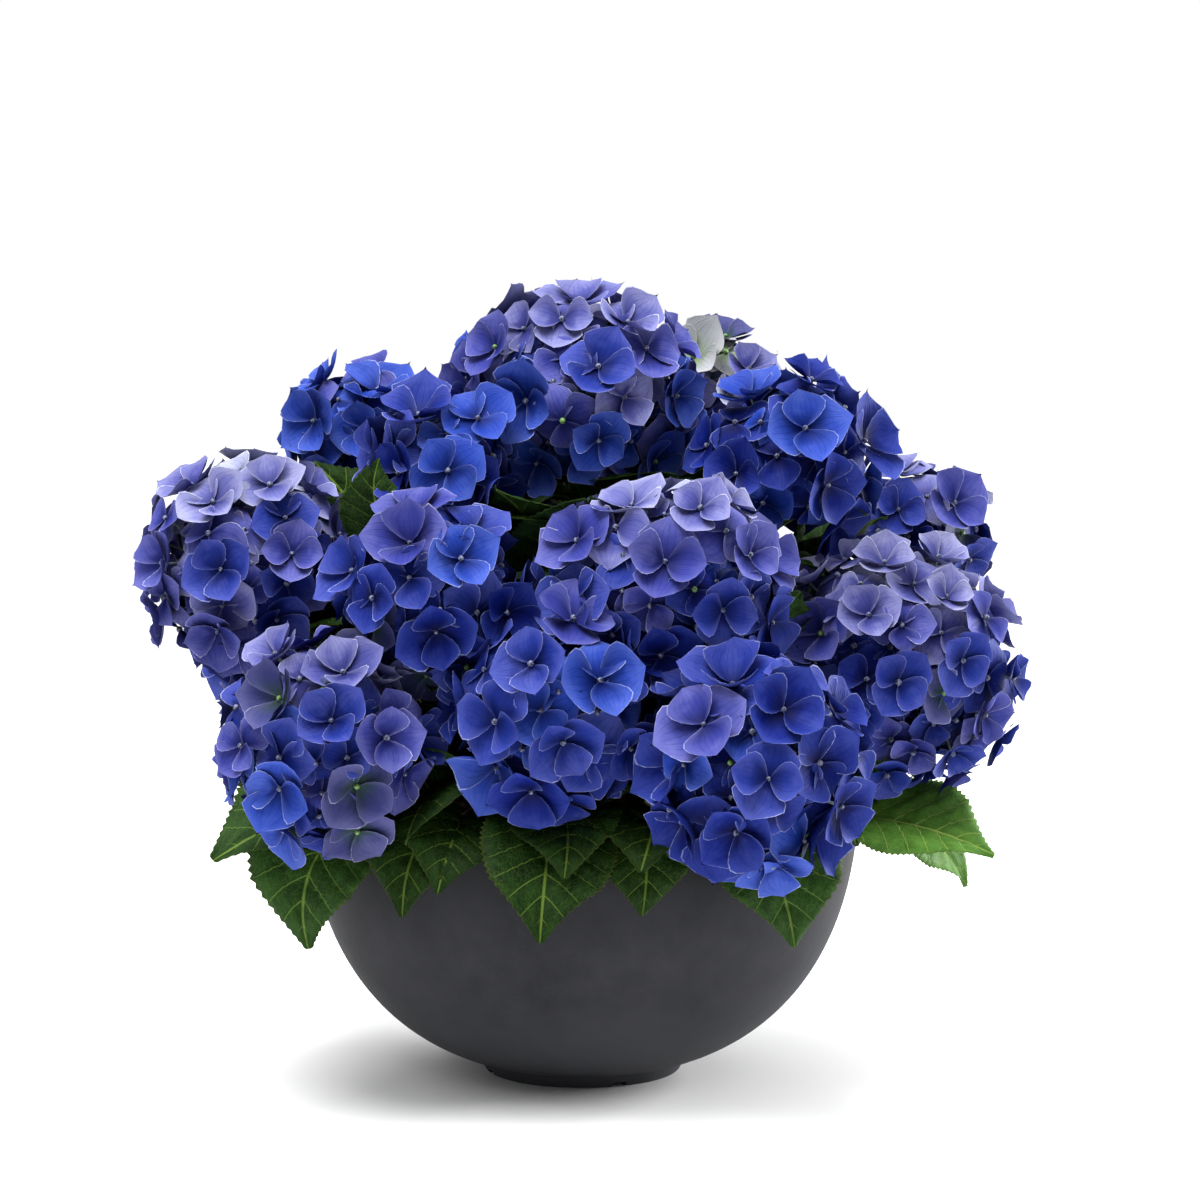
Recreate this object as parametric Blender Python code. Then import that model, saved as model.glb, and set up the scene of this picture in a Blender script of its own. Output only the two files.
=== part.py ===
"""A mophead hydrangea in a wide, shallow bowl of stone-grey composite, at its real size.

Metres, +Z up. The front is towards -Y, and azimuths run from there towards +X. The origin is the centre of
the pot's underside, which stands on z = 0. The plant is one clump: a short woody crown at soil level, a cane
to each flower head, and leafy side shoots round the rim and between the heads.
"""

import math
import random
from collections import namedtuple

import bmesh
import bpy
from mathutils import Vector
from mathutils.bvhtree import BVHTree

UP = Vector((0, 0, 1))
GAP = 0.0003  # clear space between pieces that touch on the plant

# The pot is a bowl whose side is a superellipse, widest at its rim, on a low foot ring.
BOWL_RADIUS = 0.175
BOWL_HEIGHT = 0.170
BOWL_WAIST = 0.193  # height at which the side would run straight up
BOWL_SQUARENESS = 2.43
WALL = 0.008
FOOT_RADIUS = 0.062
FOOT_TOP_RADIUS = 0.066
FOOT_HEIGHT = 0.0085
FOOT_WIDTH = 0.010
RECESS = 0.004
PAD_RADIUS = 0.020  # flat boss in the middle of the recess, flush with the ring
NOTCH = (0.024, 0.009, 0.003)  # length, width and height of a drain notch across the ring
NOTCH_COUNT = 4
NOTCH_AZIMUTH = 22.0
POT_SIDES = 32
FLOOR_HEIGHT = 0.020
FLOOR_RADIUS = 0.062
SOIL_HEIGHT = 0.150
SOIL_FLAT_RADIUS = 0.085  # the soil's level middle

# The woody crown is a low dome that the canes and side shoots leave square to its surface.
CROWN_RADIUS = 0.032
CROWN_CENTRE = 0.160
CROWN_SIDES = 24
CROWN_RINGS = 9
CROWN_FLARE = 1.06  # how much wider it is where it meets the soil

# A flower head is a dome of florets on a small core, open behind, where its cane comes in.
HEAD_LEAN = 0.35  # how far a head turns from the crown's outward direction towards the light
FLORET_RADIUS = 0.0295  # larger than life, because each stands for two or three
FLORET_FILL = 0.84  # share of the dome's surface that its florets take
FLORET_LIFT = (0.95, 1.0)  # how far out its florets stand, 1 being the dome's full radius
DISH_SHARE = 0.93  # depth of a floret's dished middle, its tips being 1
FLORET_ROOT = 0.34  # where its stalk ends inside the core, as a share of the dome's radius
DOME_ANGLE = math.radians(127)
CORE_SHARE = 0.70
CORE_PRESSED = 0.92  # how near to a neighbour's side the core comes
NOTCH_SHARE = 0.80  # how far the notches between a floret's lobes lie from its middle, tips being 1
NOTCH_DROP = 0.95  # how far out those notches stand, tips being 1
LEAST_SHARE = 0.64  # a floret is left out where its dome is cut deeper than this
BASE_SHARE = 0.36  # how far behind its centre a head's underside lies
STALK_LENGTH = 0.014
STALK_RADIUS = 0.0042
CANE_RADIUS = 0.0044
CANE_TIP_RADIUS = 0.0036
CANE_CLEAR = 0.0012
CANE_APART = math.radians(18)  # least angle between two canes at the crown
CANE_CLIMB = math.radians(15)
SPREAD_ROUNDS = 80
CANE_SIDES = 5
CANE_STEPS = 6
CANE_HANDLES = (0.34, 0.30)  # how far a cane runs on straight from either end, as shares of its length
HEAD_SEED = 200
HEAD_SPACE = 0.0012  # each head keeps this far from the plane half way to the next

# Leaves are broad ovals, pointed at both ends, and larger than life where they stand for several.
LEAF_LENGTH = 0.118
LEAF_WIDTH = 0.080
LEAF_THICKNESS = 0.0016
LEAF_CLEAR = 0.0036  # thickness a leaf needs free where it lies
LEAF_FOLD = 0.14  # rise of a leaf's edges above its midrib, as a share of its half width
LEAF_STEPS = 10
LEAF_STATIONS = ((3, 0.50), (7, 0.34))  # step along the midrib, and half width there
LEAF_STALK_RADII = (0.0017, 0.0014, 0.0005)
LEAF_TURN_SPREAD = 3  # random turn of a leaf either way, in degrees
SHOOT_NUDGES = (0, 5, -5, 10, -10, 15, -15, 20, -20)  # turns of a stem's foot tried to miss the canes
LEAF_SHARES = (1.0, 0.86, 0.74, 0.62)  # sizes tried in turn where a leaf doesn't fit
LEAF_BENDS = (0, -7, 7, -14, 14, -21, 21)  # changes to its end angle tried at each size
SHOOT_RADIUS = 0.0028
SHOOT_TAPER = 0.25
SHOOT_STEPS = 4
SHOOT_SIDES = 3
SHOOT_HANDLES = (0.4, 0.3)
SHOOT_SEED = 500
NODE_SHARE = 0.985  # where along a shoot's stem its leaves are set

# One row for each flower head: azimuth, distance from the axis, height and radius of its dome.
Head = namedtuple("Head", "azimuth reach height radius tall", defaults=(1.0,))
HEADS = (
    Head(-33, 0.010, 0.425, 0.085, 0.86),
    Head(67, 0.141, 0.389, 0.063),
    Head(-49, 0.114, 0.387, 0.053),
    Head(-106, 0.152, 0.399, 0.054),
    Head(136, 0.118, 0.420, 0.056),
    Head(23, 0.147, 0.318, 0.070),
    Head(-32, 0.171, 0.316, 0.062),
    Head(-76, 0.212, 0.326, 0.072),
    Head(104, 0.223, 0.337, 0.053),
    Head(72, 0.212, 0.262, 0.070, 1.18),
    Head(26, 0.228, 0.221, 0.072),
    Head(-5, 0.178, 0.252, 0.067),
    Head(-42, 0.224, 0.231, 0.069),
    Head(166, 0.132, 0.346, 0.061),
    Head(-151, 0.142, 0.350, 0.062),
    Head(119, 0.200, 0.254, 0.057),
    Head(148, 0.200, 0.268, 0.064),
    Head(178, 0.198, 0.264, 0.066),
    Head(-146, 0.200, 0.268, 0.064),
    Head(-110, 0.202, 0.262, 0.064),
)

# One row for each leaf of a shoot: its angle from the shoot's own azimuth, how far out from the shoot's end
# its blade begins, its length, and how steeply the blade leaves its stalk and ends.
Leaf = namedtuple("Leaf", "turn start length rise fall")
RIM_WHORL = (
    Leaf(-19, 0.016, 0.112, 8, -58),
    Leaf(19, 0.016, 0.112, 8, -58),
    Leaf(0, 0.020, 0.108, 26, -48),
)
HIGH_WHORL = (
    Leaf(-20, 0.012, 0.098, 66, 26),
    Leaf(24, 0.012, 0.098, 60, 20),
    Leaf(-58, 0.012, 0.094, 24, -22),
    Leaf(62, 0.012, 0.094, 24, -22),
)

# One row for each leafy shoot: the way its stem leaves the crown, and where it ends.
Shoot = namedtuple("Shoot", "azimuth climb reach height leaves")
SHOOTS = (
    Shoot(-57, 8, 0.120, 0.182, (Leaf(-7, 0.018, 0.125, 8, -32), Leaf(13, 0.040, 0.108, -6, -102))),
    Shoot(-31, 8, 0.124, 0.182, (Leaf(2, 0.022, 0.090, 2, -84), Leaf(17, 0.018, 0.085, 6, -66))),
    Shoot(-7, 8, 0.126, 0.182, (Leaf(1, 0.024, 0.095, -2, -90), Leaf(13, 0.016, 0.080, 10, -56))),
    Shoot(14, 8, 0.126, 0.182, (Leaf(-8, 0.026, 0.090, 0, -94), Leaf(14, 0.018, 0.080, 10, -64))),
    Shoot(40, 8, 0.128, 0.182, (Leaf(-11, 0.034, 0.096, -6, -98), Leaf(11, 0.026, 0.116, 2, -40))),
    Shoot(65, 8, 0.156, 0.177, (Leaf(2, 0.026, 0.095, -6, -14), Leaf(26, 0.018, 0.100, -2, -60))),
    Shoot(106, 8, 0.118, 0.183, RIM_WHORL),
    Shoot(156, 8, 0.118, 0.183, RIM_WHORL),
    Shoot(-154, 8, 0.118, 0.183, RIM_WHORL),
    Shoot(-104, 8, 0.118, 0.183, RIM_WHORL),
    Shoot(-12, 62, 0.062, 0.296, HIGH_WHORL),
    Shoot(-77, 50, 0.114, 0.294, HIGH_WHORL),
    Shoot(84, 46, 0.118, 0.282, HIGH_WHORL),
    Shoot(50, 26, 0.128, 0.232, HIGH_WHORL),
    Shoot(-60, 28, 0.110, 0.230, HIGH_WHORL),
    Shoot(133, 50, 0.094, 0.286, HIGH_WHORL),
    Shoot(-127, 44, 0.110, 0.282, HIGH_WHORL),
)


def polar(azimuth, reach, height):
    """The point at that azimuth, in degrees from the front towards +X."""
    turn = math.radians(azimuth)
    return Vector((reach * math.sin(turn), -reach * math.cos(turn), height))


def bowl_radius(height):
    """Outer radius of the bowl's side at a height."""
    drop = (BOWL_WAIST - height) / BOWL_WAIST
    return BOWL_RADIUS * (1 - drop**BOWL_SQUARENESS) ** (1 / BOWL_SQUARENESS)


def material(name, colour, roughness):
    """A plain matte surface of that colour."""
    made = bpy.data.materials.new(name)
    made.use_nodes = True
    shader = made.node_tree.nodes["Principled BSDF"]
    shader.inputs["Base Color"].default_value = (*colour, 1)
    shader.inputs["Roughness"].default_value = roughness
    shader.inputs["Metallic"].default_value = 0.0
    return made


def place(name, bm, finish=None):
    """Makes an object from a bmesh, with its faces turned outwards."""
    bmesh.ops.recalc_face_normals(bm, faces=bm.faces)
    mesh = bpy.data.meshes.new(name)
    bm.to_mesh(mesh)
    bm.free()
    if finish:
        mesh.materials.append(finish)
    made = bpy.data.objects.new(name, mesh)
    bpy.context.scene.collection.objects.link(made)
    return made


def turned(name, profile, sides, finish):
    """A solid of revolution about Z, from (radius, height) points that start and end on the axis."""
    bm = bmesh.new()
    rings = []
    for radius, height in profile:
        if radius == 0:
            rings.append([bm.verts.new((0, 0, height))])
            continue
        rings.append([
            bm.verts.new(polar(360 * side / sides, radius, height)) for side in range(sides)
        ])
    for low, high in zip(rings, rings[1:]):
        for side in range(sides):
            after = (side + 1) % sides
            corners = [low[side % len(low)], low[after % len(low)]]
            corners += [high[after % len(high)], high[side % len(high)]]
            bm.faces.new(list(dict.fromkeys(corners)))
    made = place(name, bm, finish)
    made.data.shade_smooth()
    made.data.set_sharp_from_angle(angle=math.radians(40))
    return made


def inner_side(clear):
    """The bowl's inner side from its floor up, moved in by a clearance."""
    levels = (0.040, 0.070, 0.110, SOIL_HEIGHT - 0.002)
    side = [(FLOOR_RADIUS - clear, FLOOR_HEIGHT + clear)]
    return side + [(bowl_radius(level) - WALL - clear, level) for level in levels]


def build_pot(finish):
    """The bowl: underside with its pad and ring, side, rounded lip, inside, then the notches cut out."""
    inner_ring = FOOT_RADIUS - FOOT_WIDTH
    under = [(0, 0), (PAD_RADIUS, 0), (PAD_RADIUS + 0.002, RECESS), (inner_ring - 0.002, RECESS)]
    foot = [(inner_ring, 0), (FOOT_RADIUS, 0), (FOOT_TOP_RADIUS, FOOT_HEIGHT)]
    levels = (FOOT_HEIGHT + 0.001, 0.020, 0.038, 0.062, 0.092, 0.128, BOWL_HEIGHT - 0.003)
    side = [(bowl_radius(level), level) for level in levels]
    rim = bowl_radius(BOWL_HEIGHT)
    lip = [(rim - 0.002, BOWL_HEIGHT), (rim - WALL + 0.002, BOWL_HEIGHT)]
    lip.append((rim - WALL, BOWL_HEIGHT - 0.003))
    inside = inner_side(0)[::-1] + [(0, FLOOR_HEIGHT)]
    pot = turned("pot", under + foot + side + lip + inside, POT_SIDES, finish)
    length, width, height = NOTCH
    for number in range(NOTCH_COUNT):
        azimuth = NOTCH_AZIMUTH + 360 / NOTCH_COUNT * number
        bm = bmesh.new()
        bmesh.ops.create_cube(bm, size=1)
        bmesh.ops.scale(bm, verts=bm.verts, vec=(width, length, 2 * height))
        cutter = place(f"notch_cutter_{number + 1}", bm)
        cutter.location = polar(azimuth, FOOT_RADIUS - FOOT_WIDTH / 2, 0)
        cutter.rotation_euler.z = math.radians(azimuth)
        cutter.hide_render = True
        cutter.display_type = "WIRE"
        cut = pot.modifiers.new("notch", "BOOLEAN")
        cut.operation = "DIFFERENCE"
        cut.object = cutter
    return pot


def build_soil(finish):
    """Potting soil that fills the bowl to just under its rim, a little higher in the middle."""
    side = inner_side(0.0005)
    top = [(SOIL_FLAT_RADIUS, SOIL_HEIGHT), (0, SOIL_HEIGHT)]
    return turned("soil", [(0, FLOOR_HEIGHT + 0.0005)] + side + top, POT_SIDES, finish)


def build_crown(finish):
    """The woody crown, cut flat where it meets the soil and flared there."""
    foot = SOIL_HEIGHT + GAP
    profile = [(0, foot), (CROWN_RADIUS * CROWN_FLARE, foot)]
    for ring in range(CROWN_RINGS):
        climb = math.pi / 2 * ring / CROWN_RINGS
        profile.append((CROWN_RADIUS * math.cos(climb), CROWN_CENTRE + CROWN_RADIUS * math.sin(climb)))
    profile.append((0, CROWN_CENTRE + CROWN_RADIUS))
    return turned("root_crown", profile, CROWN_SIDES, finish)


def tree_of(solid):
    """A search tree over a finished solid's faces."""
    return BVHTree.FromPolygons(
        [vert.co for vert in solid.data.vertices], [face.vertices for face in solid.data.polygons]
    )


def touches(bm, solids):
    """Whether a body's surface crosses that of any solid already built."""
    tree = BVHTree.FromBMesh(bm)
    return any(tree.overlap(solid) for solid in solids)


def bezier(points, share):
    """A point on the cubic curve through four control points."""
    back = 1 - share
    weights = (back**3, 3 * share * back**2, 3 * share**2 * back, share**3)
    return sum((weight * point for weight, point in zip(weights, points)), Vector())


def limb(bm, centres, radii, sides, foot_way=None, tip_way=None):
    """A closed tapering tube along a line of points; its flat ends lie square to the ways given, if any."""
    rings = []
    across = None
    for number, (centre, radius) in enumerate(zip(centres, radii)):
        before, after = centres[max(number - 1, 0)], centres[min(number + 1, len(centres) - 1)]
        along = (after - before).normalized()
        if number == 0:
            along = foot_way or along
        if number == len(centres) - 1:
            along = tip_way or along
        across = (across or along.orthogonal()).copy()
        across = (across - across.dot(along) * along).normalized()
        over = along.cross(across)
        turns = [2 * math.pi * side / sides for side in range(sides)]
        rings.append([
            bm.verts.new(centre + radius * (math.cos(turn) * across + math.sin(turn) * over))
            for turn in turns
        ])
    for low, high in zip(rings, rings[1:]):
        for side in range(sides):
            after = (side + 1) % sides
            bm.faces.new((low[side], low[after], high[after], high[side]))
    bm.faces.new(rings[0][::-1])
    bm.faces.new(rings[-1])


class Dome:
    """The space that one flower head keeps to: a ball, cut by planes half way to the heads beside it."""

    def __init__(self, head):
        self.centre = polar(head.azimuth, head.reach, head.height)
        self.radius = head.radius
        self.tall = head.tall
        outwards = (self.centre - Vector((0, 0, CROWN_CENTRE))).normalized()
        self.axis = (outwards + HEAD_LEAN * UP).normalized()
        self.planes = []

    def meet(self, other):
        """Adds the plane between this head and another, nearer to the smaller one."""
        between = other.centre - self.centre
        apart = between.length
        share = (apart**2 + self.radius**2 - other.radius**2) / (2 * apart)
        self.planes.append((between / apart, share - HEAD_SPACE))

    def full(self, way):
        """Radius of the uncut ball in a direction."""
        return self.radius / Vector((way.x, way.y, way.z / self.tall)).length

    def cut(self, way):
        """Radius of the head's space in a direction."""
        reach = self.full(way)
        for normal, distance in self.planes:
            facing = normal.dot(way)
            if facing > 0:
                reach = min(reach, distance / facing)
        return reach

    def foot(self):
        """Where the head's stalk ends and its cane begins."""
        return self.centre - self.axis * (BASE_SHARE * self.radius + STALK_LENGTH)


def keep_outside(mesh):
    """Keeps the largest connected shell, so hollows that the union sealed are filled and scrap is gone."""
    bm = bmesh.new()
    bm.from_mesh(mesh)
    waiting, shells = set(bm.faces), []
    while waiting:
        shell, edge = set(), [waiting.pop()]
        while edge:
            face = edge.pop()
            shell.add(face)
            beside = {near for side in face.edges for near in side.link_faces} & waiting
            waiting -= beside
            edge.extend(beside)
        shells.append(shell)
    shells.sort(key=lambda shell: sum(face.calc_area() for face in shell))
    spare = [face for shell in shells[:-1] for face in shell]
    bmesh.ops.delete(bm, geom=spare, context="FACES")
    bm.to_mesh(mesh)
    bm.free()


def fuse(name, parts, finish):
    """Joins closed bodies that overlap into one solid, by one union on a collection."""
    first, *others = parts
    joined = bpy.data.collections.new(name + "_parts")
    bpy.context.scene.collection.children.link(joined)
    for other in others:
        bpy.context.scene.collection.objects.unlink(other)
        joined.objects.link(other)
    union = first.modifiers.new("union", "BOOLEAN")
    union.operation = "UNION"
    union.operand_type = "COLLECTION"
    union.collection = joined
    union.solver = "MANIFOLD"
    bpy.context.view_layer.update()
    graph = bpy.context.evaluated_depsgraph_get()
    mesh = bpy.data.meshes.new_from_object(first.evaluated_get(graph))
    keep_outside(mesh)
    first.modifiers.clear()
    first.data = mesh
    mesh.name = name
    mesh.materials.clear()
    mesh.materials.append(finish)
    for other in others:
        bpy.data.objects.remove(other)
    bpy.data.collections.remove(joined)
    first.name = name
    return first


def core_of(dome):
    """The small rounded middle of a head, flat behind, with its stalk on it."""
    bm = bmesh.new()
    bmesh.ops.create_icosphere(bm, subdivisions=1, radius=1)
    for vert in bm.verts:
        way = vert.co.normalized()
        reach = min(CORE_SHARE * dome.radius, CORE_PRESSED * dome.cut(way))
        behind = -way.dot(dome.axis)
        if behind > 0:
            reach = min(reach, BASE_SHARE * dome.radius / behind)
        vert.co = dome.centre + reach * way
    core = place("core", bm)
    bm = bmesh.new()
    limb(bm, [dome.centre, dome.foot()], [STALK_RADIUS, STALK_RADIUS], CANE_SIDES)
    return [core, place("stalk", bm)]


def floret(dome, way, twist, lift):
    """One four-lobed floret: dished on top, and narrowing below to its stalk in the core."""
    across = way.orthogonal().normalized()
    over = way.cross(across)
    spread = FLORET_RADIUS / dome.radius
    bm = bmesh.new()
    rim = []
    for corner in range(8):
        turn = twist + math.pi / 4 * corner
        tip = corner % 2 == 0
        angle = spread * (1.0 if tip else NOTCH_SHARE)
        side = math.cos(turn) * across + math.sin(turn) * over
        out = (math.cos(angle) * way + math.sin(angle) * side).normalized()
        reach = min(dome.full(out) * lift * (1.0 if tip else NOTCH_DROP), dome.cut(out))
        rim.append(bm.verts.new(dome.centre + reach * out))
    reach = DISH_SHARE * min(dome.full(way) * lift, dome.cut(way))
    dish = bm.verts.new(dome.centre + reach * way)
    root = bm.verts.new(dome.centre + FLORET_ROOT * dome.radius * way)
    for corner in range(8):
        bm.faces.new((dish, rim[corner], rim[(corner + 1) % 8]))
    for corner in range(1, 8, 2):
        after = (corner + 2) % 8
        bm.faces.new((rim[corner], rim[(corner + 1) % 8], rim[after]))
        bm.faces.new((root, rim[corner], rim[after]))
    return bm


def build_bloom(name, dome, number, canes, finish):
    """A flower head: florets spread evenly over the dome, left out where a neighbour presses on it."""
    seeded = random.Random(HEAD_SEED + number)
    spread = FLORET_RADIUS / dome.radius
    area = 2 * math.pi * (1 - math.cos(DOME_ANGLE))
    count = round(FLORET_FILL * area / (math.pi * (1 + NOTCH_SHARE) / 2 * spread**2))
    frame = dome.axis.to_track_quat("Z", "Y")
    golden = math.pi * (3 - math.sqrt(5))
    start = seeded.uniform(0, 2 * math.pi)
    parts = core_of(dome)
    for step in range(count):
        height = 1 - (step + 0.5) / count * (1 - math.cos(DOME_ANGLE))
        round_axis = math.sqrt(1 - height**2)
        turn = start + golden * step
        way = frame @ Vector((round_axis * math.cos(turn), round_axis * math.sin(turn), height))
        twist, lift = seeded.uniform(0, math.pi), seeded.uniform(*FLORET_LIFT)
        if dome.cut(way) < LEAST_SHARE * dome.full(way):
            continue
        made = floret(dome, way, twist, lift)
        if touches(made, canes):
            made.free()
            continue
        parts.append(place("floret", made))
    return fuse(name, parts, finish)


def spread_out(domes):
    """The ways in which the canes leave the crown: towards their heads, but kept apart at the crown."""
    ways = [(dome.foot() - Vector((0, 0, CROWN_CENTRE))).normalized() for dome in domes]
    for _ in range(SPREAD_ROUNDS):
        for number, way in enumerate(ways):
            for other in ways[:number]:
                close = CANE_APART - way.angle(other)
                if close > 0:
                    push = (way - other).normalized() * close / 2
                    way += push
                    other -= push
                    other.normalize()
            way.z = max(way.z, math.sin(CANE_CLIMB))
            way.normalize()
    return ways


def build_cane(name, dome, leaves, finish):
    """The stem of one flower head: a gentle curve from the crown to the head's stalk.

    Returns a search tree of the space it needs, which is a little thicker than the cane.
    """
    foot = dome.foot() - GAP * dome.axis
    start = Vector((0, 0, CROWN_CENTRE)) + (CROWN_RADIUS + GAP) * leaves
    length = (foot - start).length
    low, high = CANE_HANDLES
    curve = (start, start + low * length * leaves, foot - high * length * dome.axis, foot)
    centres = [bezier(curve, step / CANE_STEPS) for step in range(CANE_STEPS + 1)]
    taper = (CANE_RADIUS - CANE_TIP_RADIUS) / CANE_STEPS
    trees = []
    for extra in (0, CANE_CLEAR):
        radii = [CANE_RADIUS - taper * step + extra for step in range(CANE_STEPS + 1)]
        bm = bmesh.new()
        limb(bm, centres, radii, CANE_SIDES, leaves, dome.axis)
        trees.append(BVHTree.FromBMesh(bm))
        if not extra:
            place(name, bm, finish)
    bm.free()
    return trees[1]


def leaf_frames(base, heading, leaf):
    """Points and directions along a leaf's midrib, which bends over from rise to fall."""
    point, frames = base.copy(), []
    side = heading.cross(UP).normalized()
    for step in range(LEAF_STEPS + 1):
        angle = math.radians(leaf.rise + (leaf.fall - leaf.rise) * step / LEAF_STEPS)
        along = math.cos(angle) * heading + math.sin(angle) * UP
        frames.append((point.copy(), side, side.cross(along)))
        point += along * leaf.length / LEAF_STEPS
    return frames


def leaf_solid(frames, width, thickness):
    """A leaf as a thin closed body: pointed at both ends, and folded up a little along its midrib."""
    bm = bmesh.new()
    base = bm.verts.new(frames[0][0])
    tip = bm.verts.new(frames[-1][0])
    rows = []
    for station, half in LEAF_STATIONS:
        point, side, over = frames[station]
        edge = half * width * side
        fold = LEAF_FOLD * half * width * over
        up = thickness / 2 * over
        corners = (point + edge + fold, point + up, point - edge + fold, point - up)
        rows.append([bm.verts.new(corner) for corner in corners])
    for number in range(4):
        after = (number + 1) % 4
        low, high = rows[0][number], rows[1][number]
        low_after, high_after = rows[0][after], rows[1][after]
        bm.faces.new((base, low_after, low))
        bm.faces.new((low, low_after, high))
        bm.faces.new((low_after, high_after, high))
        bm.faces.new((tip, high, high_after))
    bmesh.ops.recalc_face_normals(bm, faces=bm.faces)
    return bm


def fit_leaf(shoot, leaf, node, solids, seeded):
    """The largest form of a leaf that lies clear of everything built so far, or None."""
    spread = seeded.uniform(-LEAF_TURN_SPREAD, LEAF_TURN_SPREAD)
    heading = polar(shoot.azimuth + leaf.turn + spread, 1, 0)
    lean = math.radians(leaf.rise)
    stalk = math.cos(lean) * heading + math.sin(lean) * UP
    for share in LEAF_SHARES:
        for bend in LEAF_BENDS:
            tried = leaf._replace(length=leaf.length * share, fall=leaf.fall + bend)
            frames = leaf_frames(node + leaf.start * stalk, heading, tried)
            width = LEAF_WIDTH * tried.length / LEAF_LENGTH
            swollen = leaf_solid(frames, width, LEAF_CLEAR)
            blocked = touches(swollen, solids)
            swollen.free()
            if not blocked:
                return frames, width
    return None, None


def fit_stem(shoot, solids):
    """A shoot's curve and its tapering stem, with its foot turned aside where a cane is in the way."""
    climb = math.radians(shoot.climb)
    end = polar(shoot.azimuth, shoot.reach, shoot.height)
    level = polar(shoot.azimuth, 1, 0)
    low, high = SHOOT_HANDLES
    shares = [step / SHOOT_STEPS for step in range(SHOOT_STEPS + 1)]
    radii = [SHOOT_RADIUS * (1 - SHOOT_TAPER * share) for share in shares]
    for nudge in SHOOT_NUDGES:
        leaves = polar(shoot.azimuth + nudge, math.cos(climb), math.sin(climb)).normalized()
        start = Vector((0, 0, CROWN_CENTRE)) + (CROWN_RADIUS + GAP) * leaves
        length = (end - start).length
        curve = (start, start + low * length * leaves, end - high * length * level, end)
        bm = bmesh.new()
        limb(bm, [bezier(curve, share) for share in shares], radii, SHOOT_SIDES, leaves)
        if not touches(bm, solids):
            return curve, bm
        bm.free()
    raise ValueError(f"no way to the crown is free for the shoot at {shoot.azimuth} degrees")


def build_shoot(name, number, shoot, solids, finish):
    """A leafy side shoot: a thin stem from the crown, with leaves whose stalks fuse into it."""
    seeded = random.Random(SHOOT_SEED + number)
    curve, stem = fit_stem(shoot, solids)
    parts = [place("stem", stem)]
    node = bezier(curve, NODE_SHARE)
    for leaf in shoot.leaves:
        frames, width = fit_leaf(shoot, leaf, node, solids, seeded)
        if frames is None:
            continue
        bm = bmesh.new()
        limb(bm, [node, frames[0][0], frames[2][0]], LEAF_STALK_RADII, SHOOT_SIDES)
        parts.append(place("leaf_stalk", bm))
        parts.append(place("leaf", leaf_solid(frames, width, LEAF_THICKNESS)))
    return fuse(name, parts, finish)


def main():
    for old in list(bpy.data.objects):
        bpy.data.objects.remove(old)
    grey = material("pot_grey", (0.060, 0.062, 0.070), 0.75)
    brown = material("soil_brown", (0.035, 0.024, 0.016), 0.95)
    bark = material("bark_brown", (0.17, 0.12, 0.07), 0.85)
    green = material("cane_green", (0.13, 0.22, 0.06), 0.6)
    leafy = material("leaf_green", (0.035, 0.12, 0.025), 0.45)
    blues = [
        material("petal_blue", (0.055, 0.085, 0.42), 0.6),
        material("petal_violet", (0.14, 0.13, 0.50), 0.6),
    ]
    build_pot(grey)
    build_soil(brown)
    build_crown(bark)
    domes = [Dome(head) for head in HEADS]
    for dome in domes:
        for other in domes:
            if other is not dome:
                dome.meet(other)
    canes = []
    for number, (dome, way) in enumerate(zip(domes, spread_out(domes))):
        canes.append(build_cane(f"cane_{number + 1:02d}", dome, way, green))
    solids = [tree_of(bpy.data.objects["pot"])] + canes
    for number, dome in enumerate(domes):
        bloom = build_bloom(f"bloom_{number + 1:02d}", dome, number, canes, blues[number % 2])
        solids.append(tree_of(bloom))
    for number, shoot in enumerate(SHOOTS):
        made = build_shoot(f"leaf_shoot_{number + 1:02d}", number, shoot, solids, leafy)
        solids.append(tree_of(made))


main()
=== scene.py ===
"""A mophead hydrangea in full flower, in its wide bowl pot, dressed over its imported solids.

Metres, +Z up. The front is towards -Y, and azimuths run from there towards +X. The plant grows here by the
same rule as its solids: canes and side shoots leave one woody crown, each cane carries a head of florets
that keeps to its own space, and leaves lie where they clear all of these.
"""

import math
import random
from collections import namedtuple

import bpy
import numpy as np
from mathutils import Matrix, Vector
from mathutils.bvhtree import BVHTree


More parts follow.
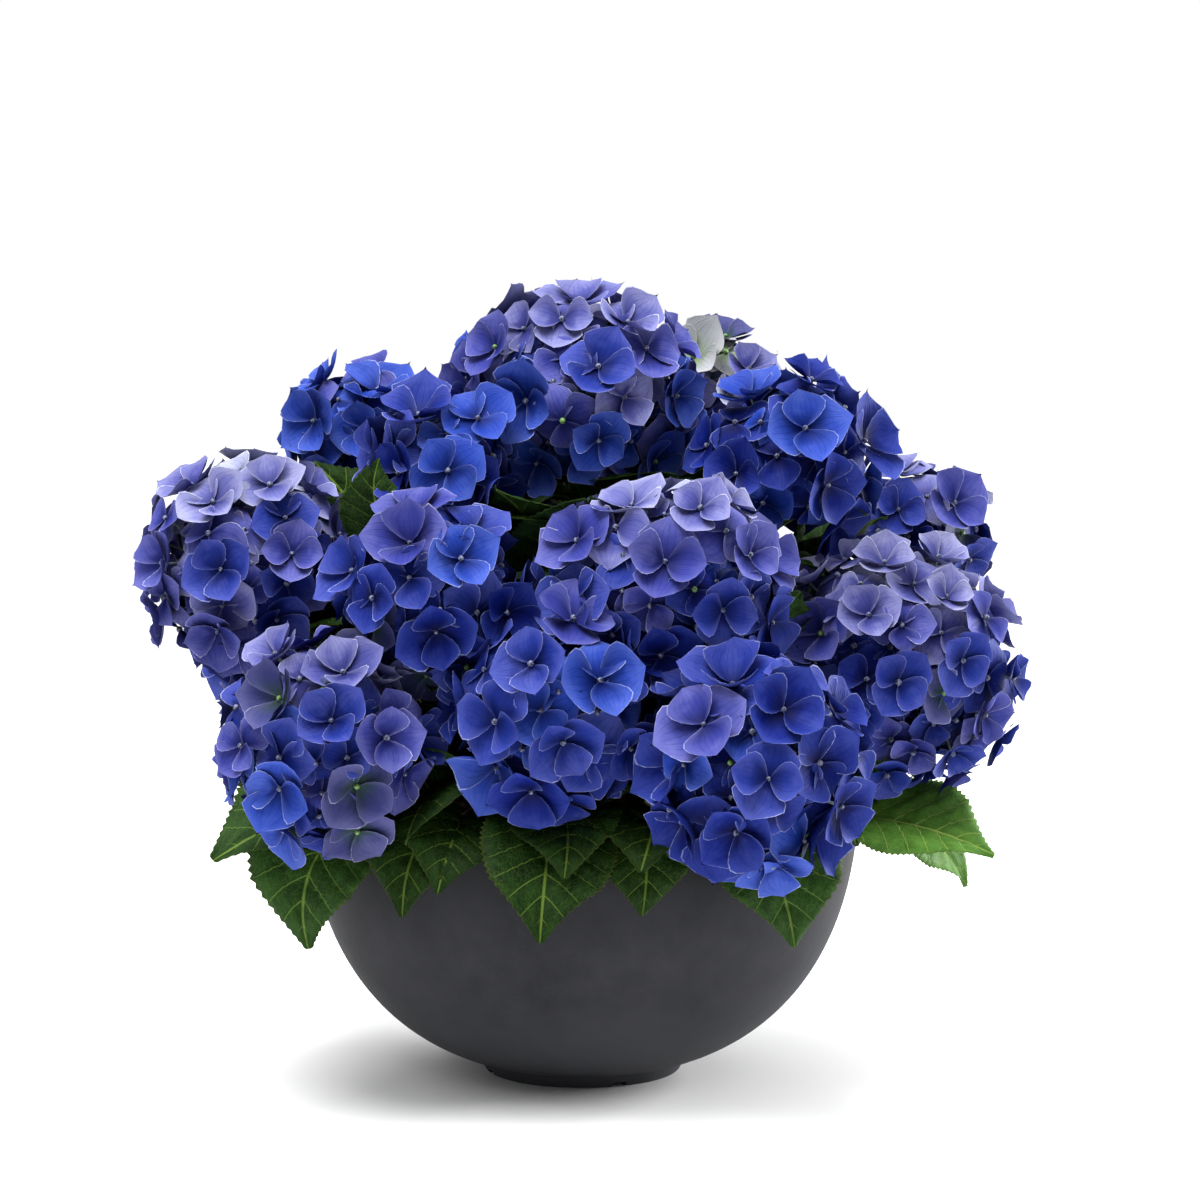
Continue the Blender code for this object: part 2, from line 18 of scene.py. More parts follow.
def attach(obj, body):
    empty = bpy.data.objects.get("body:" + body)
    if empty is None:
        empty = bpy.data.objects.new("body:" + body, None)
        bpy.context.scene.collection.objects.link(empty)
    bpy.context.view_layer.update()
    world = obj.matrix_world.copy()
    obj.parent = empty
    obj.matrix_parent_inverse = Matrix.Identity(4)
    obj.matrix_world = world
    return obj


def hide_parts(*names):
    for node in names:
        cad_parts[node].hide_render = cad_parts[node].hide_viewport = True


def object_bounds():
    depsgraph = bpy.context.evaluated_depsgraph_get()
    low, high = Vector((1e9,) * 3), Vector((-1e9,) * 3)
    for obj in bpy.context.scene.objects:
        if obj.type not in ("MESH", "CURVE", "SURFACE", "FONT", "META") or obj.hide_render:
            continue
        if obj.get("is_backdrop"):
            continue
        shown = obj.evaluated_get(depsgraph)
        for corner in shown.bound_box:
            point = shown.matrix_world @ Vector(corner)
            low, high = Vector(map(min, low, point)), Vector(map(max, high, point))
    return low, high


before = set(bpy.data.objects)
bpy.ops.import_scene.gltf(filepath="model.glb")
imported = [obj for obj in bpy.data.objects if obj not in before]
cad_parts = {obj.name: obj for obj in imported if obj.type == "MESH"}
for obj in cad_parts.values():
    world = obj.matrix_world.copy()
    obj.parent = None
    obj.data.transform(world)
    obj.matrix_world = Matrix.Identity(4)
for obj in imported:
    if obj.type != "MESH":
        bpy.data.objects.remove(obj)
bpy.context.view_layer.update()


# The bowl pot: one thick-walled casting of stone-grey composite, with a matt, faintly clouded skin. Its side
# is a superellipse that is widest at the rounded lip, and it stands on a low foot ring with four drain
# notches. It is turned about its axis, and the notches are cut through the ring.
BOWL_RADIUS = 0.175
BOWL_HEIGHT = 0.170
BOWL_WAIST = 0.193
BOWL_SQUARENESS = 2.43
WALL = 0.008
FOOT_RADIUS = 0.062
FOOT_TOP_RADIUS = 0.066
FOOT_HEIGHT = 0.0085
FOOT_WIDTH = 0.010
FLOOR_HEIGHT = 0.020
POT_SIDES = 144
LIP_STEPS = 8
NOTCH_LENGTH = 0.024
NOTCH_WIDTH = 0.009
NOTCH_HEIGHT = 0.003
NOTCH_AZIMUTHS = (22, 112, 202, 292)
PAD_RADIUS = 0.020  # the raised middle of the underside, level with the foot
HOLLOW_HEIGHT = 0.004  # of the underside between that pad and the foot ring
SIDE_STEPS = 40
SIDE_BUNCHING = 1.6  # the steps lie closer together low down, where the side curves most
LIP_ROUND = 0.003
INSIDE_LEVELS = (0.150, 0.125, 0.095, 0.065, 0.040)
POT_CREASE = 35  # an edge between faces that turn by more degrees than this stays sharp
POT_GREYS = (0.0105, 0.011, 0.0138), (0.027, 0.0275, 0.0325)
LIP_SHADOW_GREY = (0.0035, 0.0037, 0.0045)  # painted shadow of the plant: the side darkens towards the lip
FOOT_BOUNCE_GREY = (0.043, 0.044, 0.049)  # painted floor bounce: the side pales towards the foot
SPECK_GREY = (0.070, 0.070, 0.075)


def polar(azimuth, reach, height):
    """The point at that azimuth, in degrees from the front towards +X."""
    turn = math.radians(azimuth)
    return Vector((reach * math.sin(turn), -reach * math.cos(turn), height))


def azimuth_of(place):
    """The azimuth at which a place lies, in degrees."""
    return math.degrees(math.atan2(place.x, -place.y))


def bowl_radius(height):
    """Outer radius of the bowl's side at a height."""
    drop = (BOWL_WAIST - height) / BOWL_WAIST
    return BOWL_RADIUS * (1 - drop**BOWL_SQUARENESS) ** (1 / BOWL_SQUARENESS)


class Field:
    """A socket in a finish. Operators on it add the Math nodes that work them out."""

    def __init__(self, finish, socket):
        self.finish = finish
        self.socket = socket

    def math(self, operation, *values):
        """A Math node on values or fields."""
        return self.finish.node("ShaderNodeMath", {"operation": operation}, dict(enumerate(values)))

    def __add__(self, other):
        return self.math("ADD", self, other)

    __radd__ = __add__

    def __sub__(self, other):
        return self.math("SUBTRACT", self, other)

    def __rsub__(self, other):
        return self.math("SUBTRACT", other, self)

    def __mul__(self, other):
        return self.math("MULTIPLY", self, other)

    __rmul__ = __mul__

    def __pow__(self, other):
        return self.math("POWER", self, other)

    def __abs__(self):
        return self.math("ABSOLUTE", self)

    def whole(self):
        return self.math("FLOOR", self)

    def part(self):
        return self.math("FRACT", self)

    def rise(self, low, high):
        """0 up to low, 1 from high on, and a smooth step between them."""
        sockets = {"Value": self, "From Min": low, "From Max": high}
        return self.finish.node("ShaderNodeMapRange", {"interpolation_type": "SMOOTHSTEP"}, sockets)

    def axis(self, name):
        """The X, Y or Z of a place."""
        return self.finish.node("ShaderNodeSeparateXYZ", None, {"Vector": self}, name)


class Wiring:
    """The nodes of a material or of the surround."""

    def __init__(self, tree):
        self.tree = tree

    def feed(self, socket, value):
        """Gives a socket a link, a colour or a number."""
        if isinstance(value, Field):
            self.tree.links.new(value.socket, socket)
        elif socket.type == "RGBA":
            socket.default_value = (*value, 1)
        else:
            socket.default_value = value

    def node(self, kind, settings=None, sockets=None, outlet=0):
        """Any node: its settings are set first, then its sockets get their values or links."""
        made = self.tree.nodes.new(kind)
        for name, value in (settings or {}).items():
            setattr(made, name, value)
        for name, value in (sockets or {}).items():
            self.feed(made.inputs[name], value)
        return Field(self, made.outputs[outlet])

    def mix(self, share, first, second):
        """A colour between two, at that share of the second."""
        return self.node("ShaderNodeMix", {"data_type": "RGBA"}, {0: share, 6: first, 7: second}, 2)

    def place(self, output="Object"):
        return self.node("ShaderNodeTexCoord", None, None, output)


class Finish(Wiring):
    """A material, and the nodes that work out what changes over its surface."""

    def __init__(self, name, roughness, specular, mapped=False):
        self.material = bpy.data.materials.new(name)
        self.material.use_nodes = True
        super().__init__(self.material.node_tree)
        self.shader = self.tree.nodes["Principled BSDF"]
        self.shader.inputs["Roughness"].default_value = roughness
        self.shader.inputs["Specular IOR Level"].default_value = specular
        self.spot = self.node("ShaderNodeUVMap", {"uv_map": "OFBake"}) if mapped else self.place()

    def noise(self, scale, detail=3.0, roughness=0.5, place=None):
        sockets = {"Vector": place or self.spot, "Scale": scale, "Detail": detail, "Roughness": roughness}
        return self.node("ShaderNodeTexNoise", None, sockets)

    def stretched(self, share):
        """The place, with its height shrunk to that share, so that a pattern runs up and down."""
        return self.node("ShaderNodeMapping", None, {"Vector": self.spot, "Scale": (1.0, 1.0, share)})

    def wear(self, colour, roughness=None, height=None, depth=0.001, strength=1.0):
        """Sets what the surface shows: its colour, its roughness and its fine relief."""
        self.feed(self.shader.inputs["Base Color"], colour)
        if roughness is not None:
            self.feed(self.shader.inputs["Roughness"], roughness)
        if height is not None:
            sockets = {"Height": height, "Distance": depth, "Strength": strength}
            self.feed(self.shader.inputs["Normal"], self.node("ShaderNodeBump", None, sockets))
        return self.material


class Pile:
    """Points and faces of many forms, gathered to be joined into one piece."""

    def __init__(self):
        self.points, self.faces, self.spots = [], [], []
        self.count = 0

    def add(self, points, faces, spots=None):
        """Adds a form. Its spots, if any, are the places of its points on the pattern map."""
        points = np.asarray(points, float).reshape(-1, 3)
        self.points.append(points)
        self.faces.extend((np.asarray(face) + self.count).tolist() for face in faces)
        if spots is not None:
            self.spots.append(np.asarray(spots, float).reshape(-1, 2))
        self.count += len(points)

    def piece(self, name, material, sharp=None):
        """Joins the pile into one piece that rides on the plant."""
        mesh = bpy.data.meshes.new(name)
        mesh.from_pydata(np.concatenate(self.points), [], self.faces)
        if self.spots:
            corners = np.zeros(len(mesh.loops), int)
            mesh.loops.foreach_get("vertex_index", corners)
            layer = mesh.uv_layers.new(name="OFBake")
            layer.uv.foreach_set("vector", np.concatenate(self.spots)[corners].astype(np.float32).ravel())
        mesh.shade_smooth()
        if sharp:
            mesh.set_sharp_from_angle(angle=math.radians(sharp))
        mesh.materials.append(material)
        made = put(name, mesh)
        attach(made, "root")
        return made


def put(name, data):
    """A new object in the scene."""
    made = bpy.data.objects.new(name, data)
    bpy.context.scene.collection.objects.link(made)
    return made


def grid_faces(rows, columns, closed=False):
    """Quads over a grid of points, row by row; a closed one joins its last column to its first."""
    row, column = np.indices((rows - 1, columns if closed else columns - 1))
    after = (column + 1) % columns
    low = row * columns
    high = low + columns
    return np.stack([low + column, low + after, high + after, high + column], -1).reshape(-1, 4)


def capped(first, sides, centre, under=False):
    """Triangles from a ring of points to the one in its middle, which face up, or down for an underside."""
    ring = [[first + side, first + (side + 1) % sides, centre] for side in range(sides)]
    return [[after, side, centre] for side, after, centre in ring] if under else ring


def around(radius, turn, height):
    """Points at a radius, a turn in radians from the front, and a height."""
    radius, turn, height = np.broadcast_arrays(radius, turn, height)
    return np.stack([radius * np.sin(turn), -radius * np.cos(turn), height], -1)


def turns(sides):
    """The turns of points spaced evenly round a ring."""
    return 2 * np.pi * np.arange(sides) / sides


def turned(profile, sides):
    """Points and faces of a solid of revolution, whose profile starts and ends on its axis."""
    middle = np.array(profile[1:-1])
    points = around(middle[:, :1], turns(sides), middle[:, 1:]).reshape(-1, 3)
    low, high = len(points), len(points) + 1
    points = np.vstack([points, (0, 0, profile[0][1]), (0, 0, profile[-1][1])])
    faces = grid_faces(len(middle), sides, closed=True).tolist()
    faces += capped(0, sides, low, under=True) + capped(low - sides, sides, high)
    return points, faces


def steps(count):
    """Shares from 0 to 1, in that many even steps."""
    return [step / count for step in range(count + 1)]


def pot_profile():
    """The side of the cut pot, from the middle of its underside round the lip to the middle of its floor."""
    inner_ring = FOOT_RADIUS - FOOT_WIDTH
    under = [
        (0, 0.0),
        (PAD_RADIUS - 0.001, 0.0),
        (PAD_RADIUS, 0.0008),
        (PAD_RADIUS + 0.0015, HOLLOW_HEIGHT),
        (inner_ring - 0.002, HOLLOW_HEIGHT),
    ]
    foot = [
        (inner_ring - 0.0008, 0.0006),
        (inner_ring + 0.0006, 0),
        (FOOT_RADIUS - 0.0009, 0),
        (FOOT_RADIUS, 0.0008),
        (FOOT_TOP_RADIUS - 0.0004, FOOT_HEIGHT - 0.0008),
        (FOOT_TOP_RADIUS + 0.0004, FOOT_HEIGHT),
    ]
    low, high = FOOT_HEIGHT + 0.001, BOWL_HEIGHT - LIP_ROUND
    levels = [low + (high - low) * share**SIDE_BUNCHING for share in steps(SIDE_STEPS)]
    side = [(bowl_radius(level), level) for level in levels]
    middle = bowl_radius(BOWL_HEIGHT) - WALL / 2
    bends = [math.pi * share for share in steps(LIP_STEPS)]
    lip = [(middle + WALL / 2 * math.cos(bend), high + LIP_ROUND * math.sin(bend) ** 0.8) for bend in bends]
    inside = [(bowl_radius(level) - WALL, level) for level in INSIDE_LEVELS]
    return under + foot + side + lip + inside + [(FOOT_RADIUS, FLOOR_HEIGHT), (0, FLOOR_HEIGHT)]


composite = Finish("pot_composite", 0.6, 0.12)
clouds = composite.noise(9.0, 4.0, 0.6)
specks = composite.noise(420.0, 3.0, 0.7)
dust = composite.noise(60.0, 5.0, 0.65)
tone = (clouds * 0.7 + dust * 0.3).rise(0.30, 0.72)
grey = composite.mix(tone, *POT_GREYS)
level = composite.spot.axis("Z")
# painted shadow of the plant above: darker towards the lip
grey = composite.mix(level.rise(0.095, 0.175) * 0.55, grey, LIP_SHADOW_GREY)
# painted light bounced from the floor: paler towards the foot
grey = composite.mix((1 - level.rise(0.005, 0.085)) * 0.80, grey, FOOT_BOUNCE_GREY)
grey = composite.mix(specks.rise(0.62, 0.80) * 0.30, grey, SPECK_GREY)
composite.wear(grey, 0.58 + dust * 0.22, specks * 0.6 + dust * 0.8, 0.0005, 0.5)

pile = Pile()
pile.add(*turned(pot_profile(), POT_SIDES))
pot = pile.piece("pot_shell", composite.material, POT_CREASE)
for azimuth in NOTCH_AZIMUTHS:
    cutter_mesh = bpy.data.meshes.new("notch_cutter")
    corners = [(x, y, z) for x in (-1, 1) for y in (-1, 1) for z in (-1, 1)]
    corners = [(x * NOTCH_WIDTH / 2, y * NOTCH_LENGTH / 2, z * NOTCH_HEIGHT) for x, y, z in corners]
    sides = [(0, 1, 3, 2), (4, 6, 7, 5), (0, 4, 5, 1), (2, 3, 7, 6), (0, 2, 6, 4), (1, 5, 7, 3)]
    cutter_mesh.from_pydata(corners, [], sides)
    cutter = put("notch_cutter", cutter_mesh)
    cutter.location = polar(azimuth, FOOT_RADIUS - FOOT_WIDTH / 2, 0)
    cutter.rotation_euler.z = math.radians(azimuth)
    cut = pot.modifiers.new("notch", "BOOLEAN")
    cut.operation = "DIFFERENCE"
    cut.object = cutter
    bpy.context.view_layer.update()
    shaped = bpy.data.meshes.new_from_object(pot.evaluated_get(bpy.context.evaluated_depsgraph_get()))
    pot.modifiers.clear()
    pot.data = shaped
    bpy.data.objects.remove(cutter)
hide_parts("pot")


# The soil: dark, peaty potting mix that fills the bowl to just under its lip, a little higher in the middle.
# It is a crumbly sheet with a skirt down inside the bowl, and loose bits of peat and bark lie on it.
SOIL_HEIGHT = 0.150
SOIL_RINGS = 60
SOIL_SIDES = 120
SOIL_GAP = 0.0008  # between the soil and the bowl's wall
SOIL_SINK = 0.0022
SOIL_FALL = 0.004  # from the middle to the bowl's wall
SOIL_WAVES = (37.0, 61.0, 103.0, 171.0, 290.0)
SOIL_LUMPS = 0.05
SOIL_GRAIN = 0.0005
SKIRT = 0.012
CRUMBS = 900
CRUMB_SIZES = (0.0010, 0.0032)
CRUMB_SPREAD = 0.97  # share of the soil's radius
CRUMB_LIFT = 0.0004
CRUMB_CREASE = 30
PEAT_BROWNS = (0.010, 0.007, 0.005), (0.055, 0.036, 0.022)
DAMP_BROWN = (0.016, 0.011, 0.008)
CHIP_BROWNS = (0.028, 0.015, 0.009), (0.105, 0.058, 0.032)


def grained(name, roughness, specular, grain, edges, shades, relief):
    """A finish of two shades that one fine noise mottles and embosses."""
    made = Finish(name, roughness, specular)
    grain = made.noise(*grain)
    return made.wear(made.mix(grain.rise(*edges), *shades), None, grain, *relief)


peat = Finish("peat", 0.95, 0.15)
clods = peat.noise(160.0, 5.0, 0.7)
damp = peat.noise(28.0)
brown = peat.mix(clods.rise(0.35, 0.70), *PEAT_BROWNS)
brown = peat.mix(damp.rise(0.5, 0.75) * 0.5, brown, DAMP_BROWN)
peat.wear(brown, None, clods, 0.0012, 0.8)

chip = grained("bark_chip", 0.9, 0.2, (240.0, 4.0, 0.6), (0.3, 0.7), CHIP_BROWNS, (0.0006, 0.6))

seeded = np.random.default_rng(11)
reach = bowl_radius(SOIL_HEIGHT) - WALL - SOIL_GAP


def soil_height(x, y):
    """Height of the crumbly soil at a place, worked out from a few fixed waves."""
    far = np.hypot(x, y) / reach
    lumps = 0
    for number, scale in enumerate(SOIL_WAVES):
        turn = 1.1 + 2.4 * number
        wave = np.sin(scale * (x * np.cos(turn) + y * np.sin(turn)) + turn)
        lumps = lumps + wave * np.sin(scale * (y * np.cos(turn) - x * np.sin(turn)) - turn) / scale
    return SOIL_HEIGHT - SOIL_SINK - SOIL_FALL * far**3 + SOIL_LUMPS * lumps


pile = Pile()
sheet = around(reach * np.linspace(0.02, 1, SOIL_RINGS)[:, None], turns(SOIL_SIDES), 0)
x, y = sheet[..., 0], sheet[..., 1]
sheet[..., 2] = soil_height(x, y) + seeded.normal(0, SOIL_GRAIN, x.shape)
skirt = sheet[-1] * (0.99, 0.99, 1) - (0, 0, SKIRT)
points = np.vstack([sheet.reshape(-1, 3), skirt, (0, 0, SOIL_HEIGHT - 0.003)])
faces = grid_faces(SOIL_RINGS + 1, SOIL_SIDES, closed=True).tolist()
pile.add(points, faces + capped(0, SOIL_SIDES, len(points) - 1, under=True))
soil = pile.piece("soil_top", peat.material)
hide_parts("soil")

pile = Pile()
for _ in range(CRUMBS):
    far, turn = reach * CRUMB_SPREAD * math.sqrt(seeded.uniform(0.03, 1)), seeded.uniform(0, 2 * math.pi)
    x, y = far * math.sin(turn), -far * math.cos(turn)
    size = seeded.uniform(*CRUMB_SIZES) * np.array([1, seeded.uniform(0.4, 1), seeded.uniform(0.3, 0.6)])
    spin = seeded.uniform(0, 2 * math.pi)
    corners = np.array([(1, 0, 0), (0, 1, 0), (-1, 0, 0), (0, -1, 0), (0, 0, 1), (0, 0, -1)], float)
    corners = corners * size * seeded.uniform(0.8, 1.2, (6, 1))
    cos, sin = math.cos(spin), math.sin(spin)
    corners = corners @ np.array([(cos, sin, 0), (-sin, cos, 0), (0, 0, 1)])
    corners = corners + (x, y, soil_height(x, y) + CRUMB_LIFT)
    pile.add(corners, capped(0, 4, 4) + capped(0, 4, 5, under=True))
crumbs = pile.piece("soil_crumbs", chip, CRUMB_CREASE)


# The woody crown: the short, knobbly base that all canes spring from, covered in thin, flaking brown bark.
# It is a dome with lumps and lengthwise cracks in its mesh, seated in the soil.
CROWN_RADIUS = 0.032
CROWN_CENTRE = 0.160
CROWN_SIDES = 96
CROWN_RINGS = 40
CROWN_SKIN = 0.0016  # how far the lumps and cracks may stand out
CROWN_LOBES = 5
FOOT_LOBE = 0.0012
CROWN_SWEEP = 0.985 * math.pi / 2  # from the soil to just short of the top
CROWN_FLAT = 0.995
BARK_BROWNS = (0.035, 0.022, 0.013), (0.21, 0.145, 0.088)
FLAKE_TAN = (0.30, 0.235, 0.165)

# The lumps' height, how many go round the crown, how they wind up it, and their shift.
CROWN_WAVES = ((0.0011, CROWN_LOBES, 3, 0), (0.0008, 11, -5, 1), (0.0005, 37, 2, 0), (0.0003, 61, 9, 0))

bark = Finish("flaking_bark", 0.85, 0.2)
cracks = bark.noise(190.0, 6.0, 0.65, bark.stretched(0.22))
flakes = bark.noise(55.0, 4.0, 0.6)
tan = bark.mix(cracks.rise(0.36, 0.66), *BARK_BROWNS)
tan = bark.mix(flakes.rise(0.52, 0.70) * 0.6, tan, FLAKE_TAN)
bark.wear(tan, 0.75 + cracks * 0.2, cracks + flakes * 0.5, 0.0009, 0.8)

turn = turns(CROWN_SIDES)
flare = FOOT_LOBE * np.sin(CROWN_LOBES * turn)
rings = [around(CROWN_RADIUS + CROWN_SKIN + flare, turn, SOIL_HEIGHT - 0.002)]
for share in steps(CROWN_RINGS):
    climb = CROWN_SWEEP * share
    level = CROWN_CENTRE + CROWN_RADIUS * math.sin(climb) * CROWN_FLAT
    lumps = 0
    for size, lobes, slant, shift in CROWN_WAVES:
        lumps = lumps + size * np.sin(lobes * turn + slant * climb + shift)
    rings.append(around((CROWN_RADIUS - CROWN_SKIN + lumps) * math.cos(climb), turn, level))
points = np.vstack([*rings, (0, 0, CROWN_CENTRE + CROWN_RADIUS)])
faces = grid_faces(len(rings), CROWN_SIDES, closed=True).tolist()
pile = Pile()
pile.add(points, faces + capped(len(points) - 1 - CROWN_SIDES, CROWN_SIDES, len(points) - 1))
crown = pile.piece("crown_bark", bark.material)
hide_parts("root_crown")


# The canes: one smooth, fleshy green stem to each flower head, brown and barky at its foot, swollen at its
# nodes and flecked with raised pores. Each is a tapering tube from the crown to the head's stalk, and it
# leaves the crown well apart from the others.
UP = Vector((0, 0, 1))
GAP = 0.0003
HEAD_LEAN = 0.35
HEAD_SPACE = 0.0012
BASE_SHARE = 0.36
STALK_LENGTH = 0.014
CANE_RADIUS = 0.0044
CANE_TIP_RADIUS = 0.0036
CANE_CLEAR = 0.0012
CANE_APART = math.radians(18)
CANE_CLIMB = math.radians(15)
SPREAD_ROUNDS = 80
CANE_STEPS = 6
CANE_HANDLES = (0.34, 0.30)
CANE_PITCH = 0.0022
CANE_SIDES = 14
CANE_SPACE_SIDES = 5
NODE_START = 0.035  # distance along a cane of its first swollen node
NODE_PITCH = 0.047
NODE_SWELL = 0.0011
NODE_WIDTH = 0.0042
CANE_SLIM = 0.93  # share of its solid's radius, so that swollen nodes stand out of it less
CANE_RIBS = 5
RIB_HEIGHT = 0.00012
PORE_HEIGHT = 0.00035
PORE_CHANCE = 0.015
TUCK = 0.002  # how far a stem's foot reaches into the bark
TIP_TUCK = 0.003  # how far a cane's tip reaches into its head's stalk
CANE_GREENS = (0.085, 0.145, 0.038), (0.17, 0.25, 0.075)
CANE_BLUSH = (0.13, 0.055, 0.05)
WOOD_BROWNS = (0.075, 0.047, 0.026), (0.20, 0.14, 0.085)
WOODY_HEIGHTS = (0.195, 0.262)  # between which the old, brown wood gives way to green

# One row for each flower head. The last seven stand at the back, which the photograph doesn't show.
Head = namedtuple("Head", "azimuth reach height radius tall", defaults=(1.0,))
HEADS = (
    Head(-33, 0.010, 0.425, 0.085, 0.86),
    Head(67, 0.141, 0.389, 0.063),
    Head(-49, 0.114, 0.387, 0.053),
    Head(-106, 0.152, 0.399, 0.054),
    Head(136, 0.118, 0.420, 0.056),
    Head(23, 0.147, 0.318, 0.070),
    Head(-32, 0.171, 0.316, 0.062),
    Head(-76, 0.212, 0.326, 0.072),
    Head(104, 0.223, 0.337, 0.053),
    Head(72, 0.212, 0.262, 0.070, 1.18),
    Head(26, 0.228, 0.221, 0.072),
    Head(-5, 0.178, 0.252, 0.067),
    Head(-42, 0.224, 0.231, 0.069),
    Head(166, 0.132, 0.346, 0.061),
    Head(-151, 0.142, 0.350, 0.062),
    Head(119, 0.200, 0.254, 0.057),
    Head(148, 0.200, 0.268, 0.064),
    Head(178, 0.198, 0.264, 0.066),
    Head(-146, 0.200, 0.268, 0.064),
    Head(-110, 0.202, 0.262, 0.064),
)


class Dome:
    """The space that one flower head keeps to: a ball, cut by planes half way to the heads beside it."""

    def __init__(self, head):
        self.centre = polar(head.azimuth, head.reach, head.height)
        self.radius = head.radius
        self.tall = head.tall
        outwards = (self.centre - Vector((0, 0, CROWN_CENTRE))).normalized()
        self.axis = (outwards + HEAD_LEAN * UP).normalized()
        self.planes = []

    def meet(self, other):
        """Adds the plane between this head and another, nearer to the smaller one."""
        between = other.centre - self.centre
        apart = between.length
        share = (apart**2 + self.radius**2 - other.radius**2) / (2 * apart)
        self.planes.append((between / apart, share - HEAD_SPACE))

    def full(self, way):
        """Radius of the uncut ball in a direction."""
        return self.radius / Vector((way.x, way.y, way.z / self.tall)).length

    def cut(self, way):
        """Radius of the head's space in a direction."""
        reach = self.full(way)
        for normal, distance in self.planes:
            facing = normal.dot(way)
            if facing > 0:
                reach = min(reach, distance / facing)
        return reach

    def foot(self):
        """Where the head's stalk ends and its cane begins."""
        return self.centre - self.axis * (BASE_SHARE * self.radius + STALK_LENGTH)


def crown_point(way, above=0.0):
    """The place at a height over the crown's bark, in a direction from its centre."""
    return Vector((0, 0, CROWN_CENTRE)) + (CROWN_RADIUS + above) * way


def spread_out(domes):
    """The ways in which the canes leave the crown: towards their heads, but kept apart at the crown."""
    ways = [(dome.foot() - Vector((0, 0, CROWN_CENTRE))).normalized() for dome in domes]
    for _ in range(SPREAD_ROUNDS):
        for number, way in enumerate(ways):
            for other in ways[:number]:
                close = CANE_APART - way.angle(other)
                if close > 0:
                    push = (way - other).normalized() * close / 2
                    way += push
                    other -= push
                    other.normalize()
            way.z = max(way.z, math.sin(CANE_CLIMB))
            way.normalize()
    return ways


def bezier(points, share):
    """A point on the cubic curve through four control points."""
    back = 1 - share
    weights = (back**3, 3 * share * back**2, 3 * share**2 * back, share**3)
    return sum((point * weight for weight, point in zip(weights, points)), Vector())


def run(points, shares):
    """Points along that curve."""
    return [bezier(points, share) for share in shares]


def tapered(foot, tip, shares):
    """Radii that go evenly from that of the foot to that of the tip."""
    return [foot + (tip - foot) * share for share in shares]


def tube(centres, radii, sides, foot_way=None, tip_way=None, relief=None):
    """Points and faces of a closed tapering tube. Its relief, if any, lifts each ring's points."""
    points, across = [], None
    for number, (centre, radius) in enumerate(zip(centres, radii)):
        before, after = centres[max(number - 1, 0)], centres[min(number + 1, len(centres) - 1)]
        along = (after - before).normalized()
        if number == 0:
            along = foot_way or along
        if number == len(centres) - 1:
            along = tip_way or along
        across = (across or along.orthogonal()).copy()
        across = (across - across.dot(along) * along).normalized()
        over = along.cross(across)
        for side in range(sides):
            turn = 2 * math.pi * side / sides
            far = radius + (relief[number][side] if relief is not None else 0)
            points.append(centre + (math.cos(turn) * across + math.sin(turn) * over) * far)
    faces = grid_faces(len(centres), sides, closed=True).tolist()
    faces += [list(range(sides))[::-1], list(range(len(points) - sides, len(points)))]
    return points, faces


def tree(points, faces):
    """A search tree over a form's faces."""
    return BVHTree.FromPolygons([Vector(point) for point in points], faces)


def solid_tree(name):
    """The same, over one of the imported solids."""
    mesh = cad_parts[name].data
    return BVHTree.FromPolygons([v.co for v in mesh.vertices], [p.vertices for p in mesh.polygons])


cane_skin = Finish("cane_skin", 0.5, 0.4)
fibres = cane_skin.noise(420.0, place=cane_skin.stretched(0.12))
patches = cane_skin.noise(48.0, 4.0, 0.6)
green = cane_skin.mix(fibres.rise(0.3, 0.7), *CANE_GREENS)
green = cane_skin.mix(patches.rise(0.60, 0.74) * 0.6, green, CANE_BLUSH)
woody = cane_skin.mix(fibres.rise(0.35, 0.65), *WOOD_BROWNS)
aged = (cane_skin.spot.axis("Z") + patches * 0.05).rise(*WOODY_HEIGHTS)
cane_skin.wear(cane_skin.mix(aged, woody, green), 0.45 + fibres * 0.2, fibres, 0.0004, 0.5)

domes = [Dome(head) for head in HEADS]
for dome in domes:
    for other in domes:
        if other is not dome:
            dome.meet(other)

cane_curves = []
cane_space = []  # slightly wider canes, which shoots and leaves keep clear of
pile = Pile()
seeded = np.random.default_rng(23)
for dome, way in zip(domes, spread_out(domes)):
    foot = dome.foot() - GAP * dome.axis
    start = crown_point(way, GAP)
    length = (foot - start).length
    low, high = CANE_HANDLES
    curve = (start, start + low * length * way, foot - high * length * dome.axis, foot)
    cane_curves.append(curve)
    shares = steps(CANE_STEPS)
    radii = tapered(CANE_RADIUS + CANE_CLEAR, CANE_TIP_RADIUS + CANE_CLEAR, shares)
    cane_space.append(tree(*tube(run(curve, shares), radii, CANE_SPACE_SIDES, way, dome.axis)))
    rings = round(length / CANE_PITCH)
    shares = np.linspace(0, 1, rings + 1)
    nodes = np.arange(NODE_START, length, NODE_PITCH) / length
    swell = NODE_SWELL * sum(np.exp(-(((shares - node) * length / NODE_WIDTH) ** 2)) for node in nodes)
    radii = CANE_SLIM * np.array(tapered(CANE_RADIUS, CANE_TIP_RADIUS, shares)) + swell
    ribs = RIB_HEIGHT * np.sin(CANE_RIBS * turns(CANE_SIDES))
    pores = PORE_HEIGHT * (seeded.random((rings + 1, CANE_SIDES)) > 1 - PORE_CHANCE)
    centres = run(curve, shares)
    centres[0] = centres[0] - TUCK * way
    centres[-1] = centres[-1] + TIP_TUCK * dome.axis
    pile.add(*tube(centres, radii, CANE_SIDES, way, dome.axis, ribs + pores))
canes = pile.piece("canes", cane_skin.material)
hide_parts(*(f"cane_{number + 1:02d}" for number in range(len(HEADS))))


